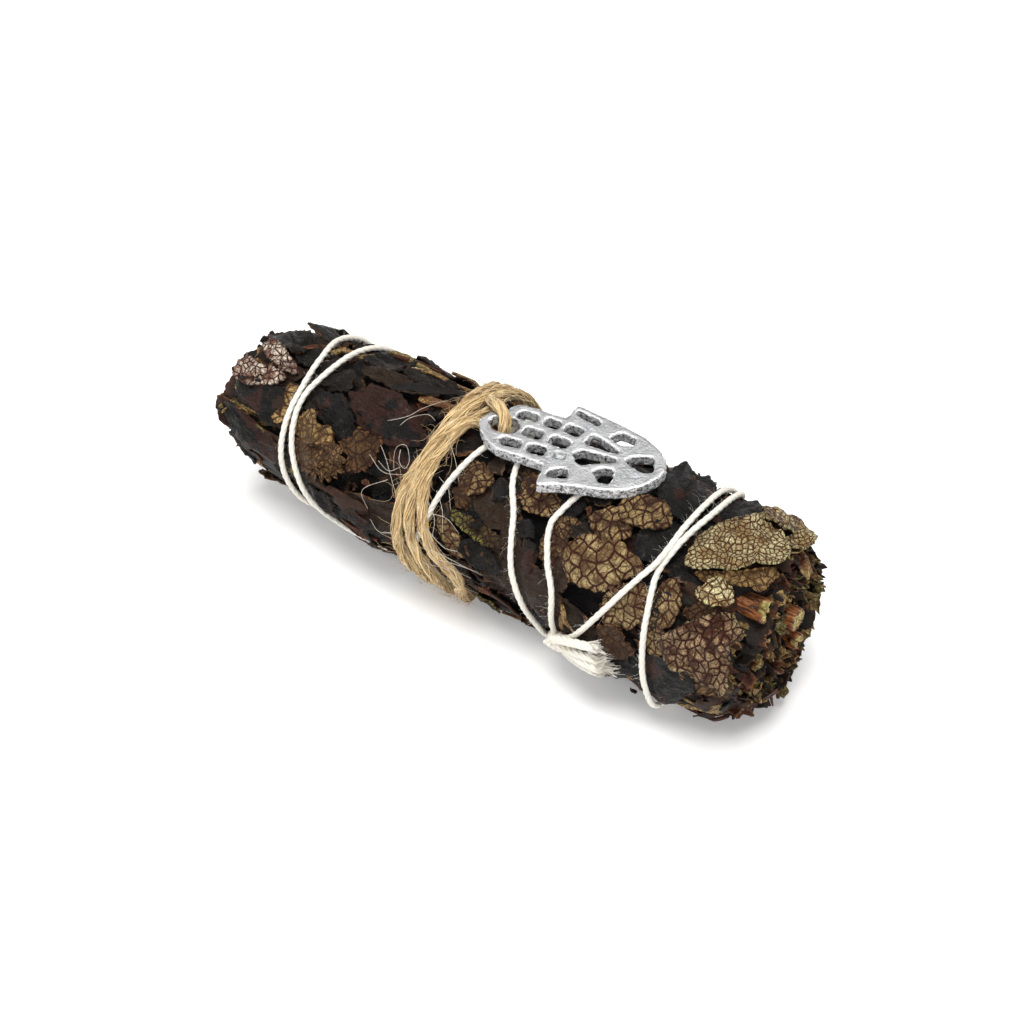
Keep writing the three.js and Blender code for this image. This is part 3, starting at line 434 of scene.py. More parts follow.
def pressed(x, angle):
    """How high over the bundle's radius a leaf may lie, so that it dips under the cords."""
    top = np.full(len(x), 9.0)
    cords = (THREAD_PLACES, THREAD_RADIUS, THREAD_LIFT), (TWINE_PLACES, TWINE_RADIUS, TWINE_LIFT)
    for places, radius, lift in cords:
        for at, turn, extra in zip(*places):
            near = np.abs(at - x) < 9
            if near.any():
                away = np.hypot(at - x[near], wrap(turn - angle[near]) * MM_PER_DEGREE) - radius
                under = lift + min(extra, 0.3) - radius - 0.15
                top[near] = np.minimum(top[near], under + 0.5 * np.maximum(0, away - 0.4))
    return top


def lain(x, angle, rise, hold=NO_HOLD):
    """Points at a rise over the bundle, pressed down under the cords."""
    return placed(x, angle, envelope(np.minimum(x, hold), angle) + np.minimum(rise, pressed(x, angle)))


# Meshes


def only(*objects):
    """Selects just these objects, the first one active."""
    bpy.ops.object.select_all(action="DESELECT")
    for thing in objects:
        thing.select_set(True)
    bpy.context.view_layer.objects.active = objects[0]


def finished(piece, name, finish, slot, *nodes, smooth=None):
    """Names a piece, gives it its finish and fixes it to the frame in place of CAD nodes."""
    piece.name = name
    piece.data.name = name
    piece.data.materials.clear()
    piece.data.materials.append(finish)
    only(piece)
    if smooth is None:
        bpy.ops.object.shade_smooth()
    else:
        bpy.ops.object.shade_smooth_by_angle(angle=math.radians(smooth))
    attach(piece, "root")
    if nodes:
        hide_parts(*nodes)
    return piece


def mesh_piece(points, faces):
    """A new object with these points, in millimetres, and faces."""
    mesh = bpy.data.meshes.new("piece")
    mesh.from_pydata((np.asarray(points) * MM).tolist(), [], faces)
    mesh.update()
    piece = bpy.data.objects.new("piece", mesh)
    bpy.context.collection.objects.link(piece)
    return piece


def joined(pieces):
    only(*pieces)
    bpy.ops.object.join()
    return bpy.context.view_layer.objects.active


def thickened(piece, thick, side=1):
    """Gives a sheet its thickness, to the side that its faces point to or, with -1, away from it."""
    only(piece)
    solid = piece.modifiers.new("thickness", "SOLIDIFY")
    solid.thickness = thick * MM
    solid.offset = side
    bpy.ops.object.modifier_apply(modifier=solid.name)
    return piece


def give(piece, **attributes):
    """Gives the points of a piece numbers that its finish reads."""
    count = len(piece.data.vertices)
    for name, values in attributes.items():
        attribute = piece.data.attributes.new(name, "FLOAT", "POINT")
        attribute.data.foreach_set("value", np.broadcast_to(np.asarray(values, np.float32), count).copy())


def mesh_points(mesh):
    flat = np.zeros(3 * len(mesh.vertices))
    mesh.vertices.foreach_get("co", flat)
    return flat.reshape(-1, 3)


SHEETS = {}
UV_SPAN = 10  # millimetres of a pale leaf in one step of its UV map


def sheet(columns, rows=None):
    """A flat sheet from -1 to 1, modelled once for each number of squares and then copied."""
    squares = (columns, rows or columns)
    if squares not in SHEETS:
        bpy.ops.object.select_all(action="DESELECT")
        bpy.ops.mesh.primitive_grid_add(x_subdivisions=squares[0], y_subdivisions=squares[1], size=2)
        SHEETS[squares] = bpy.context.active_object.data
        bpy.data.objects.remove(bpy.context.active_object)
    mesh = SHEETS[squares].copy()
    piece = bpy.data.objects.new("sheet", mesh)
    bpy.context.collection.objects.link(piece)
    return piece, mesh_points(mesh)[:, :2]


def shaped(piece, points):
    piece.data.vertices.foreach_set("co", (np.asarray(points) * MM).ravel())
    piece.data.update()
    return piece


def cord_frames(line):
    """A line's two directions across it at each point, turned as little as they can be."""
    tangents = np.gradient(line, axis=0)
    tangents /= np.linalg.norm(tangents, axis=1)[:, None]
    normal = np.cross(tangents[0], (0.3, 0.2, 1))
    normals = []
    for tangent in tangents:
        normal = normal - tangent * (normal @ tangent)
        normal /= np.linalg.norm(normal)
        normals.append(normal)
    return np.array(normals), np.cross(tangents, normals)


def ring_faces(rings, sides):
    """Faces of a tube of so many rings of points, closed at both ends."""
    i = np.arange(rings - 1)[:, None] * sides
    j = np.arange(sides)[None, :]
    k = (j + 1) % sides
    quads = np.stack([i + j, i + k, i + sides + k, i + sides + j], axis=-1).reshape(-1, 4)
    last = (rings - 1) * sides
    return quads.tolist() + [list(range(sides))[::-1], list(range(last, last + sides))]


def tube(line, radius, sides, wobble=0.0, seed=0):
    """Points and faces of a round tube along a line."""
    count = len(line)
    reach = np.broadcast_to(radius, count) * (1 + wobble * (draw(np.arange(count) * 7 + seed) - 0.5))
    a = (2 * np.pi * np.arange(sides) / sides)[:, None]
    normals, others = cord_frames(line)
    spread = np.cos(a) * normals[:, None] + np.sin(a) * others[:, None]
    return (line[:, None] + reach[:, None, None] * spread).reshape(-1, 3), ring_faces(count, sides)


def tubes_piece(tubes):
    """One object from many tubes, given as points and faces."""
    points = []
    faces = []
    start = 0
    for verts, own in tubes:
        points.append(verts)
        faces += [[start + k for k in face] for face in own]
        start += len(verts)
    return mesh_piece(np.concatenate(points), faces)


# Finishes


class Value:
    """A number, colour or vector that a material works out."""

    def __init__(self, finish, socket):
        self.finish = finish
        self.socket = socket

    def _math(self, operation, first, second):
        return self.finish.node("ShaderNodeMath", {"operation": operation}, {0: first, 1: second})

    def __add__(self, other):
        return self._math("ADD", self, other)

    def __sub__(self, other):
        return self._math("SUBTRACT", self, other)

    def __rsub__(self, other):
        return self._math("SUBTRACT", other, self)

    def __mul__(self, other):
        return self._math("MULTIPLY", self, other)


class Finish:
    """A material in the making."""

    def __init__(self, name, roughness=0.6, metallic=0.0):
        self.material = bpy.data.materials.new(name)
        self.material.use_nodes = True
        self.tree = self.material.node_tree
        self.shader = self.tree.nodes["Principled BSDF"]
        self.shader.inputs["Roughness"].default_value = roughness
        self.shader.inputs["Metallic"].default_value = metallic

    def node(self, kind, settings=None, inputs=None, out=0):
        """Adds a node, with its settings first and then the values or links of its sockets."""
        made = self.tree.nodes.new(kind)
        for name, value in (settings or {}).items():
            if name == "stops":
                ramp = made.color_ramp
                while len(ramp.elements) < len(value):
                    ramp.elements.new(0.5)
                for element, (position, color) in zip(ramp.elements, value):
                    element.position = position
                    element.color = color
            else:
                setattr(made, name, value)
        for name, value in (inputs or {}).items():
            if isinstance(value, Value):
                self.tree.links.new(value.socket, made.inputs[name])
            else:
                made.inputs[name].default_value = value
        return Value(self, made.outputs[out])

    def place(self):
        return self.node("ShaderNodeTexCoord", out="Object")

    def attribute(self, name):
        return self.node("ShaderNodeAttribute", {"attribute_name": name}, out="Fac")

    def stretched(self, vector, scale):
        return self.node("ShaderNodeMapping", {}, {"Vector": vector, "Scale": scale})

    def noise(self, vector, size, detail=4.0, roughness=0.55):
        """Noise from 0 to 1 with lumps of that size in millimetres."""
        inputs = {"Vector": vector, "Scale": 1 / (size * MM), "Detail": detail, "Roughness": roughness}
        return self.node("ShaderNodeTexNoise", {}, inputs, out="Fac")

    def between(self, value, low, high):
        """0 at low, 1 at high and clamped, smoothly."""
        settings = {"interpolation_type": "SMOOTHSTEP"}
        return self.node("ShaderNodeMapRange", settings, {"Value": value, "From Min": low, "From Max": high})

    def mix(self, factor, first, second):
        return self.node("ShaderNodeMix", {"data_type": "RGBA"}, {0: factor, 6: first, 7: second}, out=2)

    def bump(self, height, distance, strength=1.0):
        inputs = {"Height": height, "Distance": distance * MM, "Strength": strength}
        return self.node("ShaderNodeBump", {}, inputs)

    def set(self, **sockets):
        for name, value in sockets.items():
            socket = self.shader.inputs[name.replace("_", " ")]
            if isinstance(value, Value):
                self.tree.links.new(value.socket, socket)
            else:
                socket.default_value = value
        return self.material


def rgb(code):
    """A linear colour from an ordinary screen colour code."""
    parts = [((code >> shift) & 255) / 255 for shift in (16, 8, 0)]
    return *(c / 12.92 if c <= 0.04045 else ((c + 0.055) / 1.055) ** 2.4 for c in parts), 1.0


def dark_leaf_finish(look):
    """Dry, nearly black leaf with red-brown patches, pale scuffs and some lighter broken edges."""
    f = Finish("dark leaf")
    f.shader.inputs["Specular IOR Level"].default_value = 0.18
    f.shader.inputs["Coat Roughness"].default_value = 0.22
    place = f.place()
    broad = f.noise(place, 5.0, 3.0)
    patch = f.noise(place, 1.5, 4.0)
    fine = f.noise(place, 0.28, 4.0)
    speck = f.noise(place, 0.3, 1.0)
    grain = f.noise(f.stretched(place, (0.3, 1.0, 1.0)), 0.5, 5.0)
    color = f.mix(f.between(broad, 0.35, 0.7), (*look.dark_color, 1), rgb(0x1e1c1b))
    color = f.mix(f.attribute("tint") * 0.6, color, rgb(0x3a2819))
    red = broad + f.attribute("red") * 0.3 + patch * 0.3
    color = f.mix(f.between(red, 0.93, 0.97) * 0.9, color, (*look.red_color, 1))
    shade = f.between(f.attribute("shade"), 0.5, 1.0)
    color = f.mix(shade * f.between(grain, 0.45, 0.7) * 0.5, color, rgb(0x3d372e))
    color = f.mix(f.between(fine, 0.57, 0.74) * f.between(patch, 0.4, 0.62) * 0.5, color, rgb(0x6a5c48))
    color = f.mix(f.between(grain, 0.5, 0.3) * 0.6, color, rgb(0x070605))
    color = f.mix(f.between(speck, 0.8, 0.84) * 0.7, color, rgb(0xa79c88))
    color = f.mix(f.attribute("rim") * f.between(patch, 0.48, 0.6) * 0.7, color, rgb(0x7a5230))
    rough = f.between(patch, 0.3, 0.7) * 0.32 + 0.32
    height = fine * 0.6 + grain * 1.4 + patch * 1.2 + f.noise(place, 0.8, 2.0) * 0.8
    shine = f.between(patch, 0.52, 0.68) * 0.14
    return f.set(Base_Color=color, Roughness=rough, Coat_Weight=shine, Normal=f.bump(height, 0.48))


# Pale leaf undersides: cell, deeper cell, vein and rim colours; the deeper cell colour is also the painted
# shade at the cell borders
NET_KINDS = {
    "tan": (0xa89266, 0x6e5638, 0x3a190c, 0x5e4426),
    "rose": (0xb49672, 0x503222, 0x30130b, 0xa0966c),
    "olive": (0xf6ecb8, 0xbca06c, 0x4c2c18, 0xd6d49c),
    "brown": (0xa0865a, 0x4c3624, 0x331910, 0x4c3620),
    "moss": (0x645330, 0x33271a, 0x26160c, 0x8c8a44),
    "pink": (0xf4e4d0, 0x8e6c5a, 0x35140d, 0x4c3226),
    "bronze": (0xb49562, 0x66502f, 0x4a301c, 0xa07c42),
    "umber": (0x90704a, 0x50382a, 0x3a2412, 0x8a6a3e),
    "rust": (0x5c4226, 0x3a281a, 0x301e12, 0x7c4e2c),
}


def net_leaf_finish(kind):
    """Pale leaf underside: bulging cells between dark sunken veins, the wide ones split by finer ones, with
    painted shade: each cell is painted darker towards its sunken border, and the creases are painted darker
    along with the worn patches.
    """
    cell, deep, vein, edge = (rgb(code) for code in NET_KINDS[kind])
    f = Finish(f"{kind} leaf underside")
    f.shader.inputs["Specular IOR Level"].default_value = 0.2
    place = f.place()
    broad = f.noise(place, 2.4, 4.0)
    fine = f.noise(place, 0.2, 4.0)
    flat = f.node("ShaderNodeUVMap")
    sway = f.node("ShaderNodeVectorMath", {"operation": "SCALE"}, {0: f.node(
        "ShaderNodeTexNoise", {}, {"Vector": flat, "Scale": 9.0, "Detail": 3.0}, out="Color"), "Scale": 0.05})
    swayed = f.node("ShaderNodeVectorMath", {"operation": "ADD"}, {0: flat, 1: sway})
    settings = {"voronoi_dimensions": "2D", "feature": "DISTANCE_TO_EDGE"}
    cells, cell_size = f.attribute("cells"), f.attribute("cell")
    net, small, least = (
        f.node("ShaderNodeTexVoronoi", settings, {"Vector": swayed, "Scale": cells * part}, out="Distance")
        * cell_size * (1 / part) for part in (1.0, 2.1, 4.6))
    main = f.attribute("main")
    color = f.mix(f.between(broad, 0.44, 0.6), cell, deep)
    # Painted shade: each cell darkens towards its border, where its bulge falls away.
    color = f.mix(f.between(net, 0.3, 0.08) * 0.45, color, deep)
    color = f.mix(f.between(fine, 0.5, 0.75) * 0.35, color, rgb(0x33241a))
    color = f.mix(f.attribute("rim") * f.between(fine, 0.7, 0.4), color, edge)
    # Darker worn patches, and painted shade in the sunken creases.
    color = f.mix(f.attribute("worn") * 0.45, color, rgb(0x341c11))
    color = f.mix(f.between(least, 0.05, 0.015) * 0.25, color, vein)
    color = f.mix(f.between(small, 0.08, 0.03) * 0.55, color, vein)
    color = f.mix(f.between(net - cell_size * 0.05, 0.075, 0.01), color, vein)
    color = f.mix(f.between(main, 0.17, 0.08) * 0.6, color, vein)
    height = f.between(net, 0.0, 0.25) + f.between(small, 0.0, 0.14) * 0.6
    height = height + f.between(least, 0.0, 0.07) * 0.25 + fine * 0.3
    return f.set(Base_Color=color, Roughness=0.6, Normal=f.bump(height, 0.3, 0.9))


def core_finish():
    """The deep inside of the bundle: black-brown crumbled leaf."""
    f = Finish("crumbled leaf", 0.85)
    f.shader.inputs["Specular IOR Level"].default_value = 0.2
    place = f.place()
    broad = f.noise(place, 2.4, 5.0)
    fine = f.noise(place, 0.45, 5.0)
    color = f.mix(f.between(broad, 0.45, 0.7), rgb(0x080606), rgb(0x15100c))
    color = f.mix(f.between(fine, 0.6, 0.75) * 0.4, color, rgb(0x35261a))
    return f.set(Base_Color=color, Normal=f.bump(fine + broad * 0.5, 0.5))


def crumb_finish():
    """Broken bits of leaf, from black-brown to tan and olive."""
    f = Finish("broken leaf", 0.6)
    f.shader.inputs["Specular IOR Level"].default_value = 0.22
    place = f.place()
    fine = f.noise(place, 0.3, 4.0)
    stops = [(0.0, rgb(0x0b0907)), (0.35, rgb(0x1c1510)), (0.52, rgb(0x382215)), (0.64, rgb(0x4c2416)),
             (0.74, rgb(0x755230)), (0.86, rgb(0xa88c5a)), (1.0, rgb(0x6c683a))]
    color = f.node("ShaderNodeValToRGB", {"stops": stops}, {"Fac": f.attribute("tone")})
    settings = {"feature": "DISTANCE_TO_EDGE"}
    net = f.node("ShaderNodeTexVoronoi", settings, {"Vector": place, "Scale": 1 / (0.7 * MM)}, out="Distance")
    veined = f.between(f.attribute("tone"), 0.6, 0.8)
    color = f.mix(f.between(net, 0.14, 0.04) * veined * 0.7, color, rgb(0x3a1a0c))
    color = f.mix(f.between(fine, 0.42, 0.7) * 0.7, color, rgb(0x160f0a))
    return f.set(Base_Color=color, Normal=f.bump(fine, 0.25, 0.9))


def stem_finish():
    """Cut dry stem: red-brown bark along it and a pale, greenish pith at the cut."""
    f = Finish("cut stem", 0.5)
    place = f.place()
    grain = f.noise(f.stretched(place, (0.12, 1.0, 1.0)), 0.3, 4.0)
    blot = f.noise(place, 1.0, 3.0)
    bark = f.mix(f.between(grain, 0.38, 0.62), rgb(0x3a1b0c), rgb(0x9c5e2a))
    bark = f.mix(f.between(blot, 0.48, 0.7) * 0.75, bark, rgb(0x1f0e07))
    pith = f.mix(f.between(f.noise(place, 0.4, 3.0), 0.4, 0.6), rgb(0xd2bc78), rgb(0x7e7c38))
    color = f.mix(f.attribute("pith"), bark, pith)
    return f.set(Base_Color=color, Normal=f.bump(grain + blot, 0.25, 0.9))


def cotton_finish(look):
    """White cotton: fine fibres and a soft, slightly translucent look."""
    f = Finish("cotton", 0.9)
    place = f.place()
    fine = f.noise(place, 0.16, 3.0)
    broad = f.noise(place, 3.0, 2.0)
    color = f.mix(f.between(broad, 0.3, 0.7), (*look.thread_color, 1), rgb(0xe9e3d6))
    color = f.mix(f.between(fine, 0.5, 0.8) * 0.3, color, rgb(0xb9b0a0))
    f.shader.inputs["Sheen Weight"].default_value = 0.2
    return f.set(Base_Color=color, Normal=f.bump(fine, 0.08, 0.8))


def jute_finish(look):
    """Golden jute fibres, lighter and darker strand by strand."""
    f = Finish("jute", 0.7)
    f.shader.inputs["Specular IOR Level"].default_value = 0.35
    place = f.place()
    fine = f.noise(place, 0.25, 3.0)
    broad = f.noise(place, 2.5, 3.0)
    color = f.mix(f.attribute("tone"), (*look.twine_color, 1), rgb(0xf0d6a0))
    color = f.mix(f.between(broad, 0.5, 0.72) * 0.5, color, rgb(0xf2deb2))
    color = f.mix(f.between(fine, 0.52, 0.76) * 0.6, color, rgb(0x70491f))
    f.shader.inputs["Sheen Weight"].default_value = 0.2
    return f.set(Base_Color=color, Normal=f.bump(fine, 0.1, 0.7))


def hair_finish():
    """Loose fibres, from grey-white to golden."""
    f = Finish("loose fibres", 0.5)
    return f.set(Base_Color=f.mix(f.attribute("tone"), rgb(0xc9c2b6), rgb(0xb08c58)))


def cast_finish(look):
    """Rough cast light-grey metal, smoother on the raised rims, which get a painted white highlight, and with
    painted reflections on its walls: bright and dark spots.
    """
    f = Finish("cast metal", 0.4, 1.0)
    place = f.place()
    pebble = f.noise(place, 0.35, 3.0)
    broad = f.noise(place, 2.5, 3.0)
    spots = f.noise(place, 0.5, 2.0, 0.8)
    wall, lip = f.attribute("wall"), f.attribute("lip")
    color = f.mix(f.between(broad, 0.3, 0.7), (*look.metal_color, 1), rgb(0xc2c3c5))
    color = f.mix(f.between(pebble, 0.44, 0.32) * 0.35, color, rgb(0x77797b))
    # Painted reflections: the walls get bright and dark spots for the sparkle of rough cast metal, and are
    # made less metallic so that the spots show.
    wall_painted_reflections = f.mix(f.between(spots, 0.34, 0.56), rgb(0x343435), rgb(0xdcdcde))
    color = f.mix(wall, color, wall_painted_reflections)
    # Painted highlight: white on the upward-facing bevels of the rims, where the pebble bump stands high.
    color = f.mix(lip * f.between(pebble, 0.2, 0.5), color, rgb(0xfafafa))
    rough = f.between(pebble, 0.3, 0.75) * 0.12 + 0.46 - wall * 0.12
    height = pebble * 0.6 + spots * wall * 1.4
    return f.set(Base_Color=color, Roughness=rough, Metallic=1.0 - wall * 0.75, Normal=f.bump(height, 0.25))


def floor_finish():
    """Plain pale tabletop that glows, a painted light that is weaker near the object and stronger far from
    it.
    """
    f = Finish("plain floor", 0.9)
    f.shader.inputs["Specular IOR Level"].default_value = 0.1
    # Painted light: the floor glows more strongly further from the object, which narrows its shadow.
    away = f.node("ShaderNodeVectorMath", {"operation": "LENGTH"}, {0: f.place()}, out="Value")
    painted_floor_glow = f.mix(f.between(away, 0.12, 0.6), (0.15, 0.15, 0.15, 1.0), (0.6, 0.6, 0.6, 1.0))
    return f.set(Base_Color=(0.93, 0.93, 0.93, 1.0), Emission_Color=painted_floor_glow, Emission_Strength=1.0)


# Leaves


def closed_curve(points, samples, round_corners=True):
    """A closed curve through the points, as evenly spaced samples with the first one repeated last."""
    points = np.asarray(points, float)
    ring = np.concatenate([points[-1:], points, points[:2]])
    curve = spline(ring, [24] * (len(ring) - 1))[24:-24] if round_corners else ring[1:-1]
    length = np.concatenate([[0], np.cumsum(np.linalg.norm(np.diff(curve, axis=0), axis=1))])
    at = np.linspace(0, length[-1], samples + 1)
    return np.stack([np.interp(at, length, curve[:, i]) for i in (0, 1)], axis=1), length[-1]


def whole_outline(long, wide, key):
    """A leaf's outline, pointed at one end or both, with broken corners."""
    corners = 14
    blunt = 0.7 + 0.3 * draw(key + 60), 0.7 + 0.3 * draw(key + 61)
    outline = []
    for i in range(corners):
        a = 2 * math.pi * (i + 0.6 * (draw(key + i) - 0.5)) / corners
        reach = 0.8 + 0.4 * draw(key + 30 + i)
        u = min(max(math.cos(a), -blunt[0]), blunt[1])
        across = math.copysign(abs(math.sin(a)) ** 1.2, math.sin(a))
        outline.append((long / 2 * u, wide / 2 * reach * across))
    return outline


def around_square(flat):
    """How far round a square each point of a flat sheet is, 0 to 1, and how far out from its middle."""
    a, b = flat[:, 0], flat[:, 1]
    out = np.maximum(np.maximum(np.abs(a), np.abs(b)), 1e-9)
    a, b = a / out, b / out
    right = (b + 1) / 8
    top = 0.25 + (1 - a) / 8
    left = 0.5 + (1 - b) / 8
    bottom = 0.75 + (a + 1) / 8
    sides = [a >= 1 - 1e-6, b >= 1 - 1e-6, a <= -1 + 1e-6]
    return np.select(sides, [right, top, left], bottom) % 1.0, out


def leaf_flat(flat, outline, teeth, pitch, key, round_corners=True):
    """Lays a square sheet out as a leaf: places along and across it, and how near its rim each one is."""
    share, out = around_square(flat)
    samples = 720
    curve, length = closed_curve(outline, samples, round_corners)
    step = np.roll(curve[:-1], -3, axis=0) - np.roll(curve[:-1], 3, axis=0)
    outwards = np.stack([step[:, 1], -step[:, 0]], axis=1)
    outwards /= np.maximum(np.linalg.norm(outwards, axis=1), 1e-9)[:, None]
    centre = curve[:-1].mean(axis=0)
    if ((curve[:-1] - centre) * outwards).sum() < 0:
        outwards = -outwards
    at = np.arange(samples) / samples
    count = max(6, round(length / pitch))
    along = np.stack([at * count, 0 * at], axis=1)
    tooth = (at * count + 0.3 * noise(along, 1.7, key)) % 1.0
    size = 0.75 + 0.25 * noise(along, 3.1, key + 3)
    cut = teeth * size * (np.where(tooth < 0.7, tooth / 0.7, (1 - tooth) / 0.3) - 0.6)
    ragged = 0.3 * noise(along, 0.9, key + 5) + 0.12 * noise(along, 0.35, key + 6)
    toothed = curve[:-1] + outwards * (cut + ragged * min(1, teeth + 0.2))[:, None]
    toothed = np.concatenate([toothed, toothed[:1]])
    sample = np.linspace(0, 1, samples + 1)
    smooth_at = np.stack([np.interp(share, sample, curve[:, i]) for i in (0, 1)], axis=1)
    tooth_at = np.stack([np.interp(share, sample, toothed[:, i]) for i in (0, 1)], axis=1)
    inner = centre + out[:, None] * (smooth_at - centre)
    return inner + ease(0.8, 1, out)[:, None] * (tooth_at - smooth_at), out


def leaf_squares(outline, spacing):
    length = closed_curve(outline, 120)[1]
    return int(max(6, round(length / 4 / spacing)))


def laid(local, at, turn, rise, hold=NO_HOLD):
    """Points of a leaf laid on the bundle, under the cords and over the table; it stays high past hold."""
    t = math.radians(turn)
    x = at[0] + local[:, 0] * math.cos(t) - local[:, 1] * math.sin(t)
    angle = at[1] + (local[:, 0] * math.sin(t) + local[:, 1] * math.cos(t)) / MM_PER_DEGREE
    points = lain(x, angle, rise, hold)
    points = kept(points, 0.02 + 0.3 * (1 + noise(points[:, :2], 4, 5)))
    points[:, 0] = np.clip(points[:, 0], -HALF_LENGTH - 1.2, HALF_LENGTH + 0.6)
    return points


def crease(points, size, seed):
    """Narrow ridges, 0 to 1, about that far apart."""
    return np.maximum(0, 1 - 2.5 * np.abs(noise(points, size, seed))) ** 1.5


def net_leaf(at, turn, outline, cell, level, curl, teeth, key, spacing, hold=NO_HOLD, rim=0.9):
    """One pale leaf with its net of veins as relief."""
    piece, flat = sheet(leaf_squares(outline, spacing))
    local, out = leaf_flat(flat, outline, teeth, 1.3, key, teeth > 0)
    warped = local + 0.3 * shake(local, 1.8, key)
    rib = np.abs(local[:, 1] - 0.25 * np.sin(local[:, 0] * 0.4))
    pitch = 3.4
    side = np.abs(((warped[:, 0] - 0.9 * rib) / pitch) % 1 - 0.5) * pitch * 0.74
    main = np.minimum(rib, side)
    bulge = 0.3 + 0.12 * noise(warped, 0.9 * cell, key) - 0.12 * np.exp(-(main / 0.25) ** 2)
    fold = (0.4 + 0.25 * curl) * noise(local, 3.0, key + 7) + 0.25 * noise(local, 1.3, key + 8)
    ridge = crease(warped, 3.6, key + 9)
    edge_lift = curl * (0.5 + noise(local, 2.5, key + 10)) * ease(0.5, 1.1, out)
    rise = level + 0.4 + edge_lift + bulge + fold - 0.4 * ridge
    shaped(piece, laid(local, at, turn, rise, hold))
    # Worn patches, plus painted shade along the creases that ridge sinks into the leaf.
    worn = np.clip(ease(0.2, 0.55, noise(local, 2.2, key + 11)) * 0.7 + 0.6 * ridge, 0, 1)
    rims = ease(rim, 1.0, out) * (1 if rim > 0.5 else ease(0.2, -0.3, flat[:, 1]))
    give(piece, cells=UV_SPAN / cell, cell=cell, main=np.minimum(main, 1), rim=rims, worn=worn)
    corners = np.zeros(len(piece.data.loops), int)
    piece.data.loops.foreach_get("vertex_index", corners)
    piece.data.uv_layers[0].uv.foreach_set("vector", (warped[corners] / UV_SPAN).ravel().astype(np.float32))
    return piece


def dark_leaf(at, turn, outline, level, key, spacing, teeth=0.4):
    """One dark leaf with creases and folds, sunken side veins and lifted, broken edges."""
    piece, flat = sheet(leaf_squares(outline, spacing))
    local, out = leaf_flat(flat, outline, teeth, 1.5, key, False)
    rib = np.abs(local[:, 1])
    side = np.abs(((local[:, 0] - 0.8 * rib) / 2.8 + draw(key + 1)) % 1 - 0.5) * 2.8
    groove = 0.08 * np.exp(-(side / 0.25) ** 2) + 0.15 * np.exp(-(rib / 0.3) ** 2)
    fold = 0.6 * noise(local, (6, 2.2), key + 2) + 0.22 * noise(local, (1.8, 0.7), key + 3)
    ridge = 0.35 * crease(local, (5, 1.8), key + 7) + 0.15 * crease(local, (1.8, 0.9), key + 8)
    tilt = (draw(key + 4) - 0.5) * 0.1 * local[:, 0] + (draw(key + 5) - 0.5) * 0.2 * local[:, 1]
    edge_lift = (0.15 + 0.9 * noise(local, 3.0, key + 10)) * ease(0.6, 1.05, out)
    shaped(piece, laid(local, at, turn, level + 0.3 + fold + ridge - groove + tilt + edge_lift))
    tint = max(0, draw(key + 12) - 0.7) / 0.3
    red = draw(key + 14) + 0.5 * ease(0.5, 1.0, out) * (draw(key + 15) > 0.6)
    rims = ease(0.93, 1.0, out) * (draw(key + 13) > 0.55)
    give(piece, shade=draw(key + 9), tint=tint, red=red, rim=rims)
    return piece


def stalk_piece(x0, angle0, x1, angle1, wide, tone, key):
    """A slim folded leaf edge or stalk lying on the bundle."""
    piece, flat = sheet(36, 8)
    u, v = (flat[:, 0] + 1) / 2, flat[:, 1]
    s = u * math.hypot(x1 - x0, (angle1 - angle0) * MM_PER_DEGREE)
    path = np.stack([s, 0 * s + key], axis=1)
    sway = 0.35 * noise(path, 5, 7)
    half = wide / 2 * (0.15 + np.sin(np.pi * (0.04 + 0.92 * u)) ** 0.5) * (1 + 0.5 * noise(path, 1.5, 8))
    around = (v * half + sway) / MM_PER_DEGREE
    x = x0 + (x1 - x0) * u - np.sign(angle1 - angle0) * v * half * 0.35
    angle = angle0 + (angle1 - angle0) * u + around
    lines = noise(np.stack([s * 0.25, v * half * 3.5 + key], axis=1), 1, 9)
    rise = 0.3 + 0.35 * half * (1 - v * v) + 0.2 * lines + 0.3 * noise(path, 4, 10)
    shaped(piece, kept(lain(x, angle, rise)))
    give(piece, tone=np.clip(tone + 0.1 * lines, 0, 1))
    return piece


def crumb_piece(key):
    """A small broken, curled bit of leaf in a gap of the bundle."""
    piece, flat = sheet(6, 4)
    x, angle = -50 + 100 * draw(key), 360 * draw(key + 1) - 180
    size = 0.5 + 1.3 * draw(key + 2) ** 2
    tip = 1 - 0.8 * np.abs(flat[:, :1] - 0.3 * draw(key + 10)) ** 1.6
    local = flat * size * np.array([1, 0.5 + 0.5 * draw(key + 3)]) * np.hstack([0 * tip + 1, tip])
    local = local + 0.4 * size * shake(flat + key, 0.7, 1)
    bend = (draw(key + 4) - 0.3) * 0.7 / size
    height = bend * local[:, 0] ** 2 + 0.25 * size * noise(flat + key, 0.8, 3)
    turn, lean = 2 * math.pi * draw(key + 5), 1.5 * (draw(key + 6) - 0.5)
    across = local[:, 1] * math.cos(lean) - height * math.sin(lean)
    height = local[:, 1] * math.sin(lean) + height * math.cos(lean)
    flat_x = local[:, 0] * math.cos(turn) - across * math.sin(turn)
    flat_y = local[:, 0] * math.sin(turn) + across * math.cos(turn)
    rise = height - 1.1 + 0.9 * draw(key + 7)
    shaped(piece, kept(lain(x + flat_x, angle + flat_y / MM_PER_DEGREE, rise), reach=0))
    tone = 0.72 * draw(key + 8) ** 1.5 + 0.26 * draw(key + 9) + 0.1 * np.max(np.abs(flat), axis=1) ** 4
    give(piece, tone=np.minimum(tone, 1))
    return piece


def end_reach(side, radius, angle):
    """Where the bundle's chopped layers end, for a layer at that radius and angle."""
    low = np.cos(np.radians(np.asarray(angle) - 75))
    if side > 0:
        under = 0.2 + 0.8 * np.cos(np.radians(np.asarray(angle) - 200))
        inner = radius - 2.2 * np.exp(-(wrap(np.asarray(angle) + 38) / 45) ** 2)
        return np.interp(inner, *RIGHT_END) + 0.9 * low + under
    return np.interp(radius, *LEFT_END) - 1.2 * (low - 0.6)


